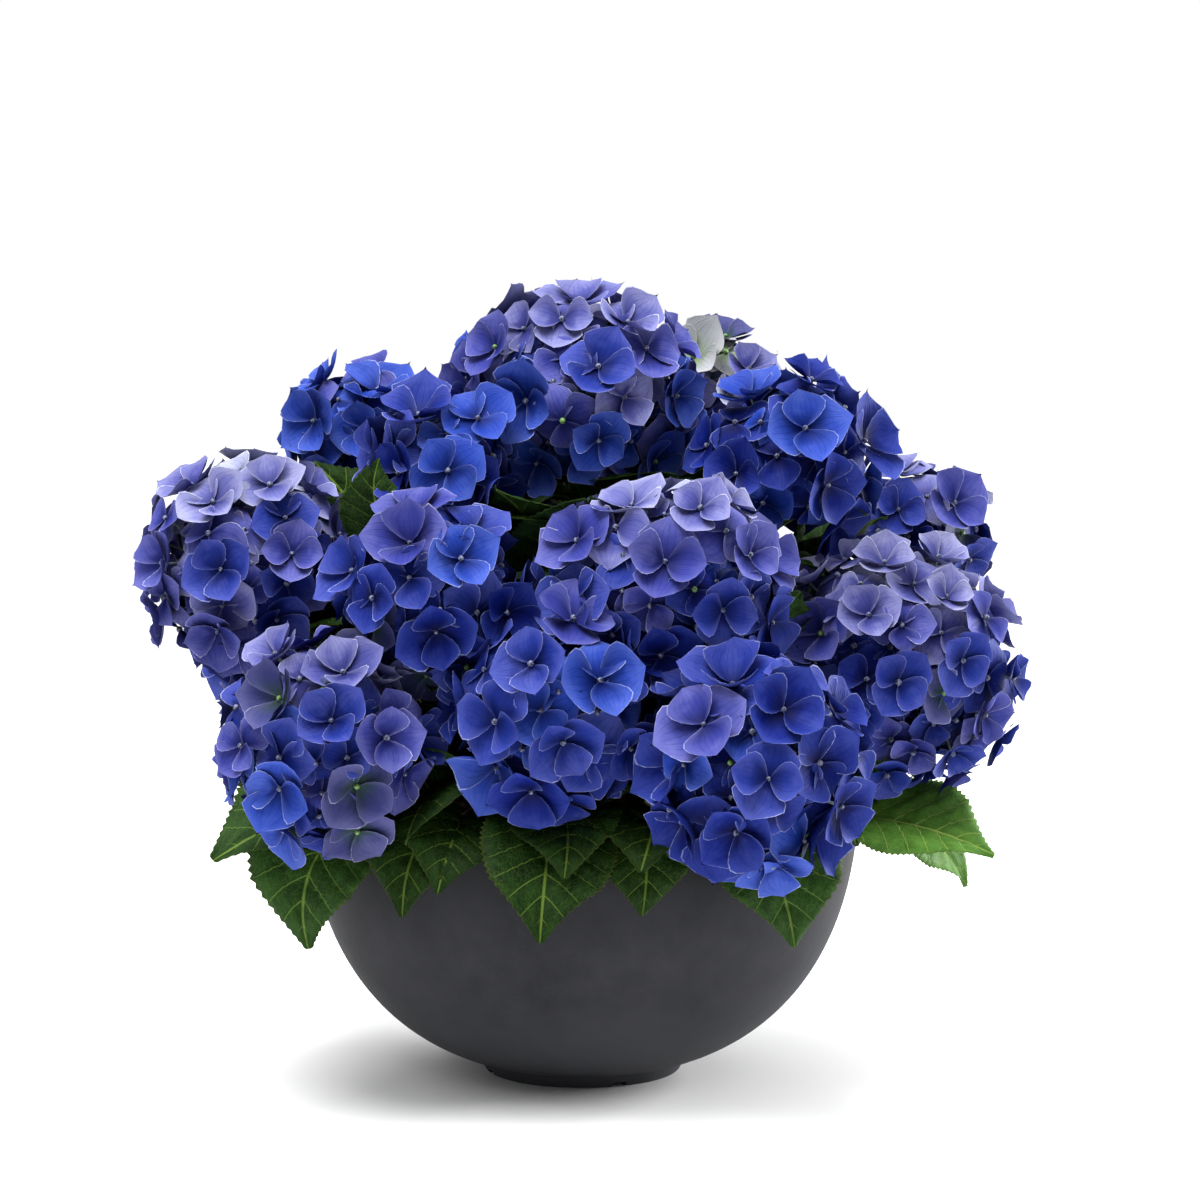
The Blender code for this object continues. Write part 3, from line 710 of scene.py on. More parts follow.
# The leafy side shoots: thin stems from the crown to the rim and up between the heads, each with a whorl of
# short-stalked leaves. A leaf takes the largest size and the first bend that keep it clear of pot, canes,
# heads and earlier shoots. Smaller leaves sit in pairs along the canes, and two turned ones between heads.
LEAF_LENGTH = 0.118
LEAF_WIDTH = 0.080
LEAF_CLEAR = 0.0036
LEAF_FOLD = 0.14
LEAF_STEPS = 10
LEAF_STATIONS = ((3, 0.50), (7, 0.34))
LEAF_TURN_SPREAD = 3
LEAF_CROOK = 0.0012
LEAF_SHARES = (1.0, 0.86, 0.74, 0.62)
LEAF_BENDS = (0, -7, 7, -14, 14, -21, 21)
SHOOT_RADIUS = 0.0028
SHOOT_TAPER = 0.25
SHOOT_STEPS = 4
SHOOT_NUDGES = (0, 5, -5, 10, -10, 15, -15, 20, -20)
SHOOT_HANDLES = (0.4, 0.3)
SHOOT_RINGS = 48
SHOOT_SIDES = 10
SHOOT_SPACE_SIDES = 3
SHOOT_SLIM = 0.92
SHOOT_SWELL = 0.0008
SHOOT_SEED = 500
NODE_SHARE = 0.985
SHOOT_NODES = ((NODE_SHARE, 18), (0.5, 24))  # share of its length, and how narrow the swelling there is
STALK_RADII = (0.0021, 0.0016, 0.0013, 0.0004)
STALK_SIDES = 7

# A leaf's turn from its stem's azimuth, how far out its blade begins, its length, and its slope at each end.
Leaf = namedtuple("Leaf", "turn start length rise fall")
RIM_WHORL = (
    Leaf(-19, 0.016, 0.112, 8, -58),
    Leaf(19, 0.016, 0.112, 8, -58),
    Leaf(0, 0.020, 0.108, 26, -48),
)
HIGH_WHORL = (
    Leaf(-20, 0.012, 0.098, 66, 26),
    Leaf(24, 0.012, 0.098, 60, 20),
    Leaf(-58, 0.012, 0.094, 24, -22),
    Leaf(62, 0.012, 0.094, 24, -22),
)
Shoot = namedtuple("Shoot", "azimuth climb reach height leaves")
SHOOTS = (
    Shoot(-57, 8, 0.120, 0.182, (Leaf(-7, 0.018, 0.125, 8, -32), Leaf(13, 0.040, 0.108, -6, -102))),
    Shoot(-31, 8, 0.124, 0.182, (Leaf(2, 0.022, 0.090, 2, -84), Leaf(17, 0.018, 0.085, 6, -66))),
    Shoot(-7, 8, 0.126, 0.182, (Leaf(1, 0.024, 0.095, -2, -90), Leaf(13, 0.016, 0.080, 10, -56))),
    Shoot(14, 8, 0.126, 0.182, (Leaf(-8, 0.026, 0.090, 0, -94), Leaf(14, 0.018, 0.080, 10, -64))),
    Shoot(40, 8, 0.128, 0.182, (Leaf(-11, 0.034, 0.096, -6, -98), Leaf(11, 0.026, 0.116, 2, -40))),
    Shoot(65, 8, 0.156, 0.177, (Leaf(2, 0.026, 0.095, -6, -14), Leaf(26, 0.018, 0.100, -2, -60))),
    Shoot(106, 8, 0.118, 0.183, RIM_WHORL),
    Shoot(156, 8, 0.118, 0.183, RIM_WHORL),
    Shoot(-154, 8, 0.118, 0.183, RIM_WHORL),
    Shoot(-104, 8, 0.118, 0.183, RIM_WHORL),
    Shoot(-12, 62, 0.062, 0.296, HIGH_WHORL),
    Shoot(-77, 50, 0.114, 0.294, HIGH_WHORL),
    Shoot(84, 46, 0.118, 0.282, HIGH_WHORL),
    Shoot(50, 26, 0.128, 0.232, HIGH_WHORL),
    Shoot(-60, 28, 0.110, 0.230, HIGH_WHORL),
    Shoot(133, 50, 0.094, 0.286, HIGH_WHORL),
    Shoot(-127, 44, 0.110, 0.282, HIGH_WHORL),
)
BEST_LIT_SHOOT = 5  # the one whose leaves stand out in the light, drawn in a brighter green: painted light
# these shoots' leaves face the light and are drawn in a lighter green: painted light
LIT_SHOOTS = (0, 4)
CANE_LEAF_SHARES = (0.30, 0.42, 0.54, 0.64, 0.74, 0.83, 0.91)
INNER_SHARE = 0.5  # leaves that sit lower on a cane lie hidden inside the shrub
CANE_LEAF = Leaf(0, 0.014, 0.092, 36, -10)
CANE_LEAF_SIZES = (0.8, 1.05)
CANE_LEAF_TURN = 20  # pairs stand crosswise, each turned by up to this many degrees
LOW_LEAVES = (Leaf(-30, 0.034, 0.100, 12, -44), Leaf(24, 0.030, 0.100, 20, -38))
LOW_LEAF_SHARE = 0.40
LOW_LEAF_REACH = 0.19  # only the heads that stand out this far have them
TurnedLeaf = namedtuple("TurnedLeaf", "cane share azimuth roll leaf")
TURNED_LEAVES = (
    TurnedLeaf(2, 0.80, -50, math.pi + 0.5, Leaf(0, 0.047, 0.066, 20, 110)),
    TurnedLeaf(1, 0.70, 60, math.pi + 0.4, Leaf(0, 0.018, 0.062, 30, 75)),
)

# A leaf's blade, from its stalk to its drip tip: rows of teeth, side veins that arch forwards, and the
# surface puffed up between them.
BLADE_BROAD = (1.10, 1.26)  # how much broader a living blade is than its solid
LOW_GRID = (56, 12)
HIGH_GRID = (34, 6)
INNER_GRID = (26, 4)
BLADE_THICKNESS = 0.0004
VEIN_PAIRS = 7.0
TOOTH = 0.055
TOOTH_LEAN = 0.008  # the teeth point forwards, by this share of the blade's length
PUFF = 0.0027
MIDRIB_DEPTH = 0.0012
EDGE_WAVE = 0.0024
LEAF_SWAY = 0.05
LEAF_GLOSS = 0.46
MAP_CELLS = 4  # the pattern maps of leaves and sepals have this many cells each way
CELL_FILL = 0.92  # and a form fills this share of its cell
LEAF_COLUMNS = 3  # of the map, for upper sides; undersides have the last column
LEAF_SHADES = 9  # cells in use in them
LEAF_SHAKE = 0.14
LEAF_EDGE = (0.10, 0.09, 0.02)
ROLLS = {0: -0.42, 1: -0.2, 4: 0.35, 5: 0.52, 11: -0.9}  # of the shoots whose leaves face the light in front
# the second and third rows are lighter copies of the first: painted light on leaves that face the light
GREENS = {  # the deep shade, the lit one, that of the ribs and that of the underside
    "green": ((0.003, 0.012, 0.002), (0.011, 0.034, 0.005), (0.12, 0.19, 0.03), (0.035, 0.075, 0.022)),
    "lit_green": ((0.009, 0.028, 0.005), (0.022, 0.062, 0.011), (0.15, 0.24, 0.045), (0.05, 0.11, 0.03)),
    "best_lit_green": ((0.034, 0.10, 0.012), (0.075, 0.18, 0.026), (0.27, 0.38, 0.08), (0.10, 0.19, 0.05)),
}


def touches(form, solids):
    """Whether a form's faces cross those of any solid."""
    return any(form.overlap(solid) for solid in solids)


def leaf_base(leaf, node, heading):
    """Where a leaf's blade begins: at the end of its stalk, which rises from its node."""
    lean = math.radians(leaf.rise)
    return node + leaf.start * (math.cos(lean) * heading + math.sin(lean) * UP)


def leaf_frames(base, heading, leaf, count=LEAF_STEPS):
    """Points and directions along a leaf's midrib, which bends over from rise to fall."""
    point, frames = base.copy(), []
    side = heading.cross(UP).normalized()
    for step in range(count + 1):
        angle = math.radians(leaf.rise + (leaf.fall - leaf.rise) * step / count)
        along = math.cos(angle) * heading + math.sin(angle) * UP
        frames.append((point.copy(), side, side.cross(along)))
        point += along * leaf.length / count
    return frames


def leaf_space(frames, width):
    """A search tree over the thin body that a leaf needs clear."""
    points = [frames[0][0], frames[-1][0]]
    for station, half in LEAF_STATIONS:
        point, side, over = frames[station]
        edge, fold, up = half * width * side, LEAF_FOLD * half * width * over, LEAF_CLEAR / 2 * over
        points += [point + edge + fold, point + up, point - edge + fold, point - up]
    faces = []
    for number in range(4):
        after = (number + 1) % 4
        low, low_after, high, high_after = 2 + number, 2 + after, 6 + number, 6 + after
        faces += [(0, low_after, low), (low, low_after, high), (low_after, high_after, high)]
        faces.append((1, high, high_after))
    return BVHTree.FromPolygons(points, faces)


def fit_leaf(azimuth, leaf, node, solids):
    """The largest form of a leaf that lies clear of everything, with where it begins and its heading."""
    heading = polar(azimuth + leaf.turn, 1, 0)
    base = leaf_base(leaf, node, heading)
    for share in LEAF_SHARES:
        for bend in LEAF_BENDS:
            tried = leaf._replace(length=leaf.length * share, fall=leaf.fall + bend)
            width = LEAF_WIDTH * tried.length / LEAF_LENGTH
            if not touches(leaf_space(leaf_frames(base, heading, tried), width), solids):
                return tried, base, heading
    return None


def sheet_map(rows, columns):
    """Places over a blade or sepal: v from its claw to its tip, and u across it, from -1 to 1."""
    return np.meshgrid(np.linspace(0, 1, rows + 1), np.linspace(-1, 1, columns + 1), indexing="ij")


def cell_spots(u, v, column, row):
    """The same places in a cell of the pattern map."""
    margin = (1 - CELL_FILL) / 2
    spots = np.stack([(u + 1) / 2 * CELL_FILL + margin + column, v * CELL_FILL + margin + row], -1)
    return (spots / MAP_CELLS).reshape(-1, 2)


def clipped(values):
    """Values kept between 0 and 1."""
    return np.clip(values, 0, 1)


def leaf_outline(v, u, teeth):
    """Half the breadth of a blade: drawn out into a drip tip, and toothed at its edge."""
    half = 0.5 * np.sin(np.pi * (0.015 + 0.97 * v) ** 0.74) ** 0.72 * (1 - 0.62 * clipped(v - 0.66) / 0.34)
    return half * (1 + TOOTH * teeth * clipped(v * 8))


def vein_rank(v, out):
    """How many side veins lie below a place, in whole veins and parts, as they arch forwards."""
    centred = v**0.8 * 2 - 1
    reach = out * (1 - centred * centred)
    return (v - reach * 0.34 + reach * reach * 0.06) * VEIN_PAIRS


def blade(leaf, base, heading, grid, roll, rng):
    """A leaf's upper and lower sheet, joined round its toothed edge, and their places on the pattern map."""
    cell, roll = int(rng.integers(0, LEAF_SHADES)), roll + rng.normal(0, LEAF_SHAKE)
    width = LEAF_WIDTH * leaf.length / LEAF_LENGTH * rng.uniform(*BLADE_BROAD)
    middle, side, over = np.array(leaf_frames(base, heading, leaf, grid[0])).transpose(1, 0, 2)[:, :, None]
    side, over = side * math.cos(roll) - over * math.sin(roll), over * math.cos(roll) + side * math.sin(roll)
    v, u = sheet_map(*grid)
    out = np.abs(u)
    teeth = (np.arange(grid[0] + 1) % 2)[:, None] * clipped(out * 6 - 5)
    half = leaf_outline(v, u, teeth)
    puffed = np.sin(np.pi * (vein_rank(v, out) % 1)) ** 0.7 * clipped(out * 5) * clipped((1 - out) * 4)
    phase = rng.uniform(0, 2 * np.pi, 3)
    lift = LEAF_FOLD * out**1.25 * half * width
    lift = lift + PUFF * puffed * np.sin(np.pi * clipped(v * 1.1)) ** 0.5
    lift = lift - MIDRIB_DEPTH * np.exp(-((u / 0.06) ** 2))
    lift = lift + EDGE_WAVE * out**3 * np.sin(9 * v + phase[0] + 2 * np.sign(u) * phase[1])
    lift = lift + LEAF_SWAY * leaf.length * np.sin(phase[2]) * v**2
    sway = LEAF_SWAY * leaf.length * np.sin(np.pi * v) * np.sin(phase[1])
    points = middle + (u * half * width + sway)[..., None] * side + lift[..., None] * over
    points = points + (TOOTH_LEAN * teeth)[..., None] * np.gradient(middle, axis=0) * grid[0]
    rows, columns = v.shape
    under = rows * columns
    top = grid_faces(rows, columns)
    faces = top[:, ::-1].tolist() + (top + under).tolist()
    place = np.arange(under).reshape(rows, columns)
    edge = [*place[0], *place[1:, -1], *place[-1, -2::-1], *place[-2:0:-1, 0]]
    pairs = zip(edge, edge[1:] + edge[:1])
    faces += [[first, second, second + under, first + under] for first, second in pairs]
    points = np.concatenate([points, points - BLADE_THICKNESS * over]).reshape(-1, 3)
    row, column = divmod(cell, LEAF_COLUMNS)
    spots = [cell_spots(u, v, column, row), cell_spots(u, v, LEAF_COLUMNS, row)]
    return points, faces, np.concatenate(spots)


def map_places(finish):
    """The column and row of the pattern map, with their fractions, and the place across and along a cell."""
    x, y = finish.spot.axis("X") * MAP_CELLS, finish.spot.axis("Y") * MAP_CELLS
    margin = (1 - CELL_FILL) / 2
    return x, y, (x.part() - 0.5) * (2 / CELL_FILL), (y.part() - margin) * (1 / CELL_FILL)


def leaf_finish(name, deep, lit, rib, back):
    """Satin leaf green by its own map: a cell for each leaf, with pale ribs and a dull underside."""
    made = Finish(name, LEAF_GLOSS, 0.06, mapped=True)
    x, y, side, v = map_places(made)
    u = abs(side)
    last = LEAF_COLUMNS / MAP_CELLS
    below = (x * (1 / MAP_CELLS)).rise(last - 0.0001, last + 0.0001)
    near = abs((vein_rank(v, u) + 0.5).part() - 0.5)
    wide = 0.032 - u * 0.018
    side_rib = 1 - (near - wide).rise(-0.018, 0.022)
    side_rib = side_rib * (1 - u.rise(0.86, 1.0)) * (1 - v.rise(0.84, 0.92))
    midrib = 1 - (u * (1.05 - v)).rise(0.006, 0.016)
    ribs = u.math("MAXIMUM", side_rib * 0.75, midrib)
    sockets = {"Vector": made.spot, "Scale": 120.0}
    net = made.node("ShaderNodeTexVoronoi", {"feature": "DISTANCE_TO_EDGE"}, sockets, "Distance")
    threads = 1 - net.rise(0.02, 0.10)
    mottle = made.noise(26.0, 4.0, 0.6)
    cloud = made.noise(6.0, 2.0)
    green = made.mix(mottle.rise(0.3, 0.7), deep, lit)
    green = made.mix(cloud.rise(0.4, 0.7) * 0.35, green, deep)
    green = made.mix(threads * 0.10, green, rib)
    green = made.mix(ribs * 0.80, green, rib)
    green = made.mix(u.rise(0.95, 1.0) * 0.25, green, LEAF_EDGE)
    dull = made.mix(ribs * 0.7, made.mix(mottle.rise(0.3, 0.7), back, lit), rib)
    roughness = LEAF_GLOSS + mottle * 0.14 + below * 0.2
    return made.wear(made.mix(below, green, dull), roughness, threads * -0.35 - ribs * 0.8, 0.0006, 0.7)


firm = [solid_tree("pot")] + cane_space
firm += [solid_tree(f"bloom_{number + 1:02d}") for number in range(len(HEADS))]
solids = list(firm)
rng = np.random.default_rng(31)
stems, low_leaves, lit_leaves, best_lit_leaves, high_leaves = Pile(), Pile(), Pile(), Pile(), Pile()
piles_by_shoot = {**dict.fromkeys(LIT_SHOOTS, lit_leaves), BEST_LIT_SHOOT: best_lit_leaves}


def grow_leaf(leaf, base, heading, node, pile, grid=LOW_GRID, roll=0.0):
    """Adds a leaf and its grooved stalk."""
    pile.add(*blade(leaf, base, heading, grid, roll, rng))
    frames = leaf_frames(base, heading, leaf)
    lean = frames[0][2] * LEAF_CROOK
    route = [node, node.lerp(base, 0.5) - lean, base - 0.4 * lean, frames[2][0] - 1.2 * lean]
    stems.add(*tube(route, STALK_RADII, STALK_SIDES))


def grow_clear(azimuth, leaf, node, solids, pile, grid=LOW_GRID, roll=0.0):
    """Grows a leaf in the largest form that lies clear of those solids, or not at all."""
    fitted = fit_leaf(azimuth, leaf, node, solids)
    if fitted:
        grow_leaf(*fitted, node, pile, grid, roll)


def shoot_route(shoot):
    """The way in which a shoot leaves the crown, turned aside where a cane is in the way, and its curve."""
    climb = math.radians(shoot.climb)
    end = polar(shoot.azimuth, shoot.reach, shoot.height)
    level = polar(shoot.azimuth, 1, 0)
    low, high = SHOOT_HANDLES
    shares = steps(SHOOT_STEPS)
    radii = tapered(SHOOT_RADIUS, SHOOT_RADIUS * (1 - SHOOT_TAPER), shares)
    for nudge in SHOOT_NUDGES:
        way = polar(shoot.azimuth + nudge, math.cos(climb), math.sin(climb)).normalized()
        start = crown_point(way, GAP)
        length = (end - start).length
        curve = (start, start + low * length * way, end - high * length * level, end)
        if not touches(tree(*tube(run(curve, shares), radii, SHOOT_SPACE_SIDES, way)), solids):
            break
    return way, curve


for number, shoot in enumerate(SHOOTS):
    seeded = random.Random(SHOOT_SEED + number)
    way, curve = shoot_route(shoot)
    shares = np.linspace(0, 1, SHOOT_RINGS)
    swell = SHOOT_SWELL * sum(np.exp(-(((shares - place) * narrow) ** 2)) for place, narrow in SHOOT_NODES)
    radii = SHOOT_RADIUS * (SHOOT_SLIM - SHOOT_TAPER * shares) + swell
    centres = run(curve, shares)
    centres[0] = centres[0] - TUCK * way
    stems.add(*tube(centres, radii, SHOOT_SIDES, way))
    node = bezier(curve, NODE_SHARE)
    for leaf in shoot.leaves:
        leaf = leaf._replace(turn=leaf.turn + seeded.uniform(-LEAF_TURN_SPREAD, LEAF_TURN_SPREAD))
        pile = piles_by_shoot.get(number, low_leaves)
        grow_clear(shoot.azimuth, leaf, node, solids, pile, roll=ROLLS.get(number, 0.0))
    solids.append(solid_tree(f"leaf_shoot_{number + 1:02d}"))

for number, (dome, curve) in enumerate(zip(domes, cane_curves)):
    others = firm[: number + 1] + firm[number + 2 :]  # all but the cane that the leaf grows from
    if dome.centre.xy.length > LOW_LEAF_REACH:
        azimuth, node = azimuth_of(dome.centre), bezier(curve, LOW_LEAF_SHARE)
        for leaf in LOW_LEAVES:
            grow_clear(azimuth, leaf, node, others, high_leaves, HIGH_GRID)
    for level, share in enumerate(CANE_LEAF_SHARES):
        node = bezier(curve, share)
        azimuth = azimuth_of(node) + 90 * level + rng.uniform(-CANE_LEAF_TURN, CANE_LEAF_TURN)
        pile, grid = (low_leaves, INNER_GRID) if share < INNER_SHARE else (high_leaves, HIGH_GRID)
        for turn in (0, 180):
            leaf = CANE_LEAF._replace(turn=turn, length=CANE_LEAF.length * rng.uniform(*CANE_LEAF_SIZES))
            grow_clear(azimuth, leaf, node, others, pile, grid)

for cane, share, azimuth, roll, leaf in TURNED_LEAVES:
    node = bezier(cane_curves[cane], share)
    heading = polar(azimuth, 1, 0)
    grow_leaf(leaf, leaf_base(leaf, node, heading), heading, node, low_leaves, roll=roll)

shoot_names = [f"leaf_shoot_{number + 1:02d}" for number in range(len(SHOOTS))]
shoot_stems = stems.piece("shoot_stems", cane_skin.material)
dark_green, lit_green, best_lit_green = (leaf_finish("leaf_" + name, *row) for name, row in GREENS.items())
leaves_low = low_leaves.piece("leaves_low", dark_green)
leaves_high = high_leaves.piece("leaves_high", dark_green)
leaves_lit = lit_leaves.piece("leaves_lit", lit_green)
leaves_best_lit = best_lit_leaves.piece("leaves_best_lit", best_lit_green)
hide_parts(*shoot_names)
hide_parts(*(shoot_names[number] for number in LIT_SHOOTS))
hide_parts(shoot_names[BEST_LIT_SHOOT])


# The heads' branching: over each cane the stalk forks into rays, and the rays into thin, pale blue-green
# stalks, one to each floret. A ray starts well inside the stalk, and a floret's stalk inside its ray.
FLORET_RADIUS = 0.0248
DOME_ANGLE = math.radians(127)
FLORET_SPACING = 1.22  # distance between neighbours on the dome, in floret radii
LEAST_SHARE = 0.60
FLORET_ROOM = 0.004  # between a floret's middle and the edge of its head's space
LAYERS = 4
LAYER_DROP = 0.045  # share of the dome's radius from one layer of florets to the next
NEAR, CLOSE = 1.6, 1.7  # how far round a floret its layer takes note of others, in florets' distances
SHADES = ("royal", "blue", "violet", "mauve", "lilac", "pale", "faded")  # from the deepest to the ripest
SLIP = 0.17  # clearance of a sepal below the floret that covers it, in floret radii
FOLDED = 0.09  # share of florets whose sepals stand half closed
SEPAL_REACH = 1.08
SEPAL_SIDE = 0.6  # cosine of the widest turn from its middle line at which a sepal still covers
BESIDE = 2.3  # florets within this distance, in their radii, may cover one another
SEPAL_PROBES = ((0.7, 0.0), (0.95, 0.0), (1.12, 0.0), (0.6, 0.45), (0.6, -0.45), (0.85, 0.28), (0.85, -0.28))
STEEPEST = 1.1  # the steepest that a sepal bends down, in floret radii at its tip
CROWDED = 0.82  # size of a floret that would have to bend further
CROWDED_SINK = 0.10  # and how far it sits lower, in floret radii
LAYER_CUPS = (0.16, 0.08, 0.0, -0.05)  # the florets on top stand more cupped
OUTWARDS = 0.22  # how far a floret turns away from the middle of the shrub
OUTWARDS_REACH = 0.12  # how far out a head's centre lies where that turn is in full
LIGHT_SIDE = Vector((0, -0.16, 0.04))  # how far it turns to the light in front
TURNED_HEADS = {4: Vector((0.0, -0.8, 0.4))}  # the faded head at the back, drawn to the light in front
SWELLS = {  # the sides to which a head is grown out past its ball
    5: Vector((-0.024, -0.004, 0.0)),
    6: Vector((0.010, -0.004, -0.012)),
    9: Vector((-0.028, -0.008, 0.010)),
}
CUPS = (0.08, 0.48)
FOLDED_CUP = 0.28
CUP_CURVE = 1.7  # the power by which a cupped sepal lifts towards its tip
SIZES = (0.84, 1.12)
SINKS = (-0.02, 0.03)
SCATTER = 0.045  # of the florets' places and, below, of the ways in which they face
TILT = 0.16
GREEN_EYES = 0.04
HEAD_TURN = 2.1  # from one head's spiral of florets to the next one's, in radians
SWELL_AREA = 0.6  # how much more area a head has for each radius by which it is grown out
CUP_SINK = 0.9  # how much lower a cupped floret sits, as a share of its cup's height
RIPENING = 1.2  # the power by which florets ripen towards the top of a head
DEEP = 1.5  # florets less ripe than this may be bright ones
HEAD_STALK_RADII = (0.0036, 0.0040, 0.0030)
HEAD_STALK_SIDES, RAY_SIDES, FLORET_STALK_SIDES = 10, 6, 4
STALK_TUCK = 0.001  # how far the stalk goes down into its cane
STALK_REACH = 0.012  # and on past its fork
RAYS = 9
RAY_REACH = 0.46
RAY_RADII = (0.0020, 0.0014)
RAY_STEPS = 6
RAY_SPREAD = 1.25  # of the rays' directions, from 0 for none to 2 for a whole ball
RAY_ROOM = 0.7  # share of the way to the edge of its head's space that a ray may reach
FLORET_STALK_SHARES = (0, 0.3, 0.65, 1)
FLORET_STALK_RADII = (0.0010, 0.0008, 0.0008, 0.0010)
FLORET_SEAT = 0.0015  # from the end of its stalk to a floret's middle
STALK_SHADES = (0.075, 0.115, 0.105), (0.15, 0.20, 0.21)
GOLDEN = math.pi * (3 - math.sqrt(5))

# One row for each head: the size of its florets, how ripe they are at its sides and on top, as a place in
# SHADES, how far that varies, and the shares of dusky ones and, among the deep ones, of bright ones.
Look = namedtuple("Look", "size low high spread greenish bright")
LOOKS = (
    Look(1.00, 1.4, 3.1, 0.60, 0.06, 0.75),
    Look(1.05, 0.0, 0.8, 0.40, 0.01, 0.30),
    Look(1.00, 0.2, 1.0, 0.45, 0.02, 0.35),
    Look(0.96, 0.2, 1.6, 0.50, 0.02, 1.00),
    Look(0.92, 3.8, 7.2, 0.80, 0.12, 0.00),
    Look(0.98, 0.7, 4.4, 0.50, 0.01, 0.15),
    Look(0.98, 0.6, 2.0, 0.55, 0.04, 0.25),
    Look(0.92, 1.8, 4.8, 0.60, 0.03, 0.00),
    Look(0.90, 1.4, 5.2, 0.80, 0.06, 0.10),
    Look(0.84, 1.0, 4.2, 0.60, 0.05, 0.15),
    Look(1.06, -0.2, 0.9, 0.45, 0.01, 0.10),
    Look(1.00, 0.2, 1.1, 0.45, 0.02, 0.20),
    Look(0.92, 1.2, 3.2, 0.65, 0.10, 0.15),
    Look(0.98, 0.5, 2.4, 0.55, 0.04, 0.20),
    Look(0.98, 0.6, 3.4, 0.55, 0.04, 0.20),
    Look(0.95, 0.3, 1.8, 0.55, 0.04, 0.20),
    Look(0.95, 0.9, 3.4, 0.60, 0.06, 0.15),
    Look(1.00, 0.2, 1.4, 0.50, 0.02, 0.25),
    Look(0.95, 0.9, 3.6, 0.60, 0.04, 0.15),
    Look(0.95, 0.6, 2.6, 0.60, 0.06, 0.20),
)

Floret = namedtuple("Floret", "head layer centre way twist size tint eye cup")


def calm_layer(way, placed, apart):
    """The layer that differs most from those of the florets already set around a place."""
    near = [(other.angle(way), layer) for other, layer in placed if other.angle(way) < NEAR * apart]
    crowding = []
    for own in range(LAYERS):
        crowding.append(sum((CLOSE * apart - angle) / (0.4 + abs(layer - own)) for angle, layer in near))
    return crowding.index(min(crowding))


def faced(way):
    """The rotation that turns +Z to a direction."""
    return way.to_track_quat("Z", "Y")


def spiral(step, height, start):
    """A direction in a golden spiral about +Z, at that height on the unit ball."""
    turn, across = GOLDEN * step + start, math.sqrt(1 - height**2)
    return Vector((across * math.cos(turn), across * math.sin(turn), height))


def cover(other, bent, place):
    """How high a floret's sepals pass over a place, in metres, or None where they don't."""
    away = (faced(other.way).inverted() @ (place - other.centre)) / other.size
    apart = away.xy.length
    if apart >= SEPAL_REACH:
        return None
    angle = math.atan2(away.y, away.x) - other.twist
    facing = [math.cos(angle - quarter * math.pi / 2) for quarter in range(4)]
    low = max(fall for fall, straight in zip(bent, facing) if straight > SEPAL_SIDE)
    return (away.z - other.cup * apart**CUP_CURVE + low * apart**2) * other.size


def dips(floret, beside):
    """How far each sepal of a floret bends down to pass under the higher florets beside it."""
    axis = faced(floret.way)
    found = []
    for quarter in range(4):
        turn = floret.twist + quarter * math.pi / 2
        out = axis @ Vector((math.cos(turn), math.sin(turn), 0))
        across = floret.way.cross(out)
        dip = 0.0
        for along, aside in SEPAL_PROBES:
            far = math.hypot(along, aside)
            lifted = floret.cup * far**CUP_CURVE
            place = floret.centre + floret.size * (out * along + across * aside + floret.way * lifted)
            for other, bent in beside:
                over = cover(other, bent, place)
                if over is not None:
                    dip = max(dip, (over / floret.size + SLIP) / far**2)
        found.append(dip)
    return found


def tinted(look, ripe, chance):
    """The tint of a floret: by how ripe it is, or by chance dusky, or bright for a deep one."""
    if chance < look.greenish:
        return "dusky"
    if ripe < DEEP and chance > 1 - look.bright:
        return "cobalt"
    return SHADES[min(max(round(ripe), 0), len(SHADES) - 1)]


def spread_florets(number, dome, look, rng):
    """A head's florets, spread over its dome in layers, and left out where a neighbour presses."""
    size = FLORET_RADIUS * look.size
    swell = SWELLS.get(number, Vector((0, 0, 0)))
    outwards = Vector((dome.centre.x, dome.centre.y, 0))
    outwards = TURNED_HEADS.get(number, outwards / max(OUTWARDS_REACH, outwards.length))
    drop = 1 - math.cos(DOME_ANGLE)
    area = 2 * math.pi * drop * dome.radius**2 * (1 + SWELL_AREA * swell.length / dome.radius)
    count = round(area / (math.sin(math.pi / 3) * (FLORET_SPACING * size) ** 2))
    placed, own = [], []
    for step in range(count):
        way = faced(dome.axis) @ spiral(step, 1 - (step + 0.5) / count * drop, HEAD_TURN * number)
        way = (way + SCATTER * Vector(rng.normal(0, 1, 3))).normalized()
        twist, scale = rng.uniform(0, math.pi / 2), rng.uniform(*SIZES)
        cup, sunk, lean = rng.uniform(*CUPS), rng.uniform(*SINKS), TILT * Vector(rng.normal(0, 1, 3))
        chance, shift = rng.uniform(0, 1), rng.normal(0, 1)
        if rng.uniform(0, 1) < FOLDED:
            cup += FOLDED_CUP
        if dome.cut(way) < LEAST_SHARE * dome.full(way):
            continue
        layer = calm_layer(way, placed, FLORET_SPACING * size / dome.radius)
        placed.append((way, layer))
        cup += LAYER_CUPS[layer]
        tips_at = dome.full(way) * (1.0 - sunk - LAYER_DROP * layer)
        reach = math.sqrt(tips_at**2 - (size * scale) ** 2) - CUP_SINK * cup * size * scale
        reach = min(reach, dome.cut(way) - FLORET_ROOM)
        centre = dome.centre + reach * way + swell * max(0.0, way.dot(swell.normalized()))
        facing = (way + OUTWARDS * outwards + LIGHT_SIDE + lean).normalized()
        ripe = look.low + (look.high - look.low) * max(0.0, way.z) ** RIPENING + look.spread * shift
        tint = tinted(look, ripe, chance)
        green_eye = tint in ("dusky", "faded") or rng.uniform(0, 1) < GREEN_EYES
        own.append(Floret(number, layer, centre, facing, twist, size * scale, tint, green_eye, cup))
    return own


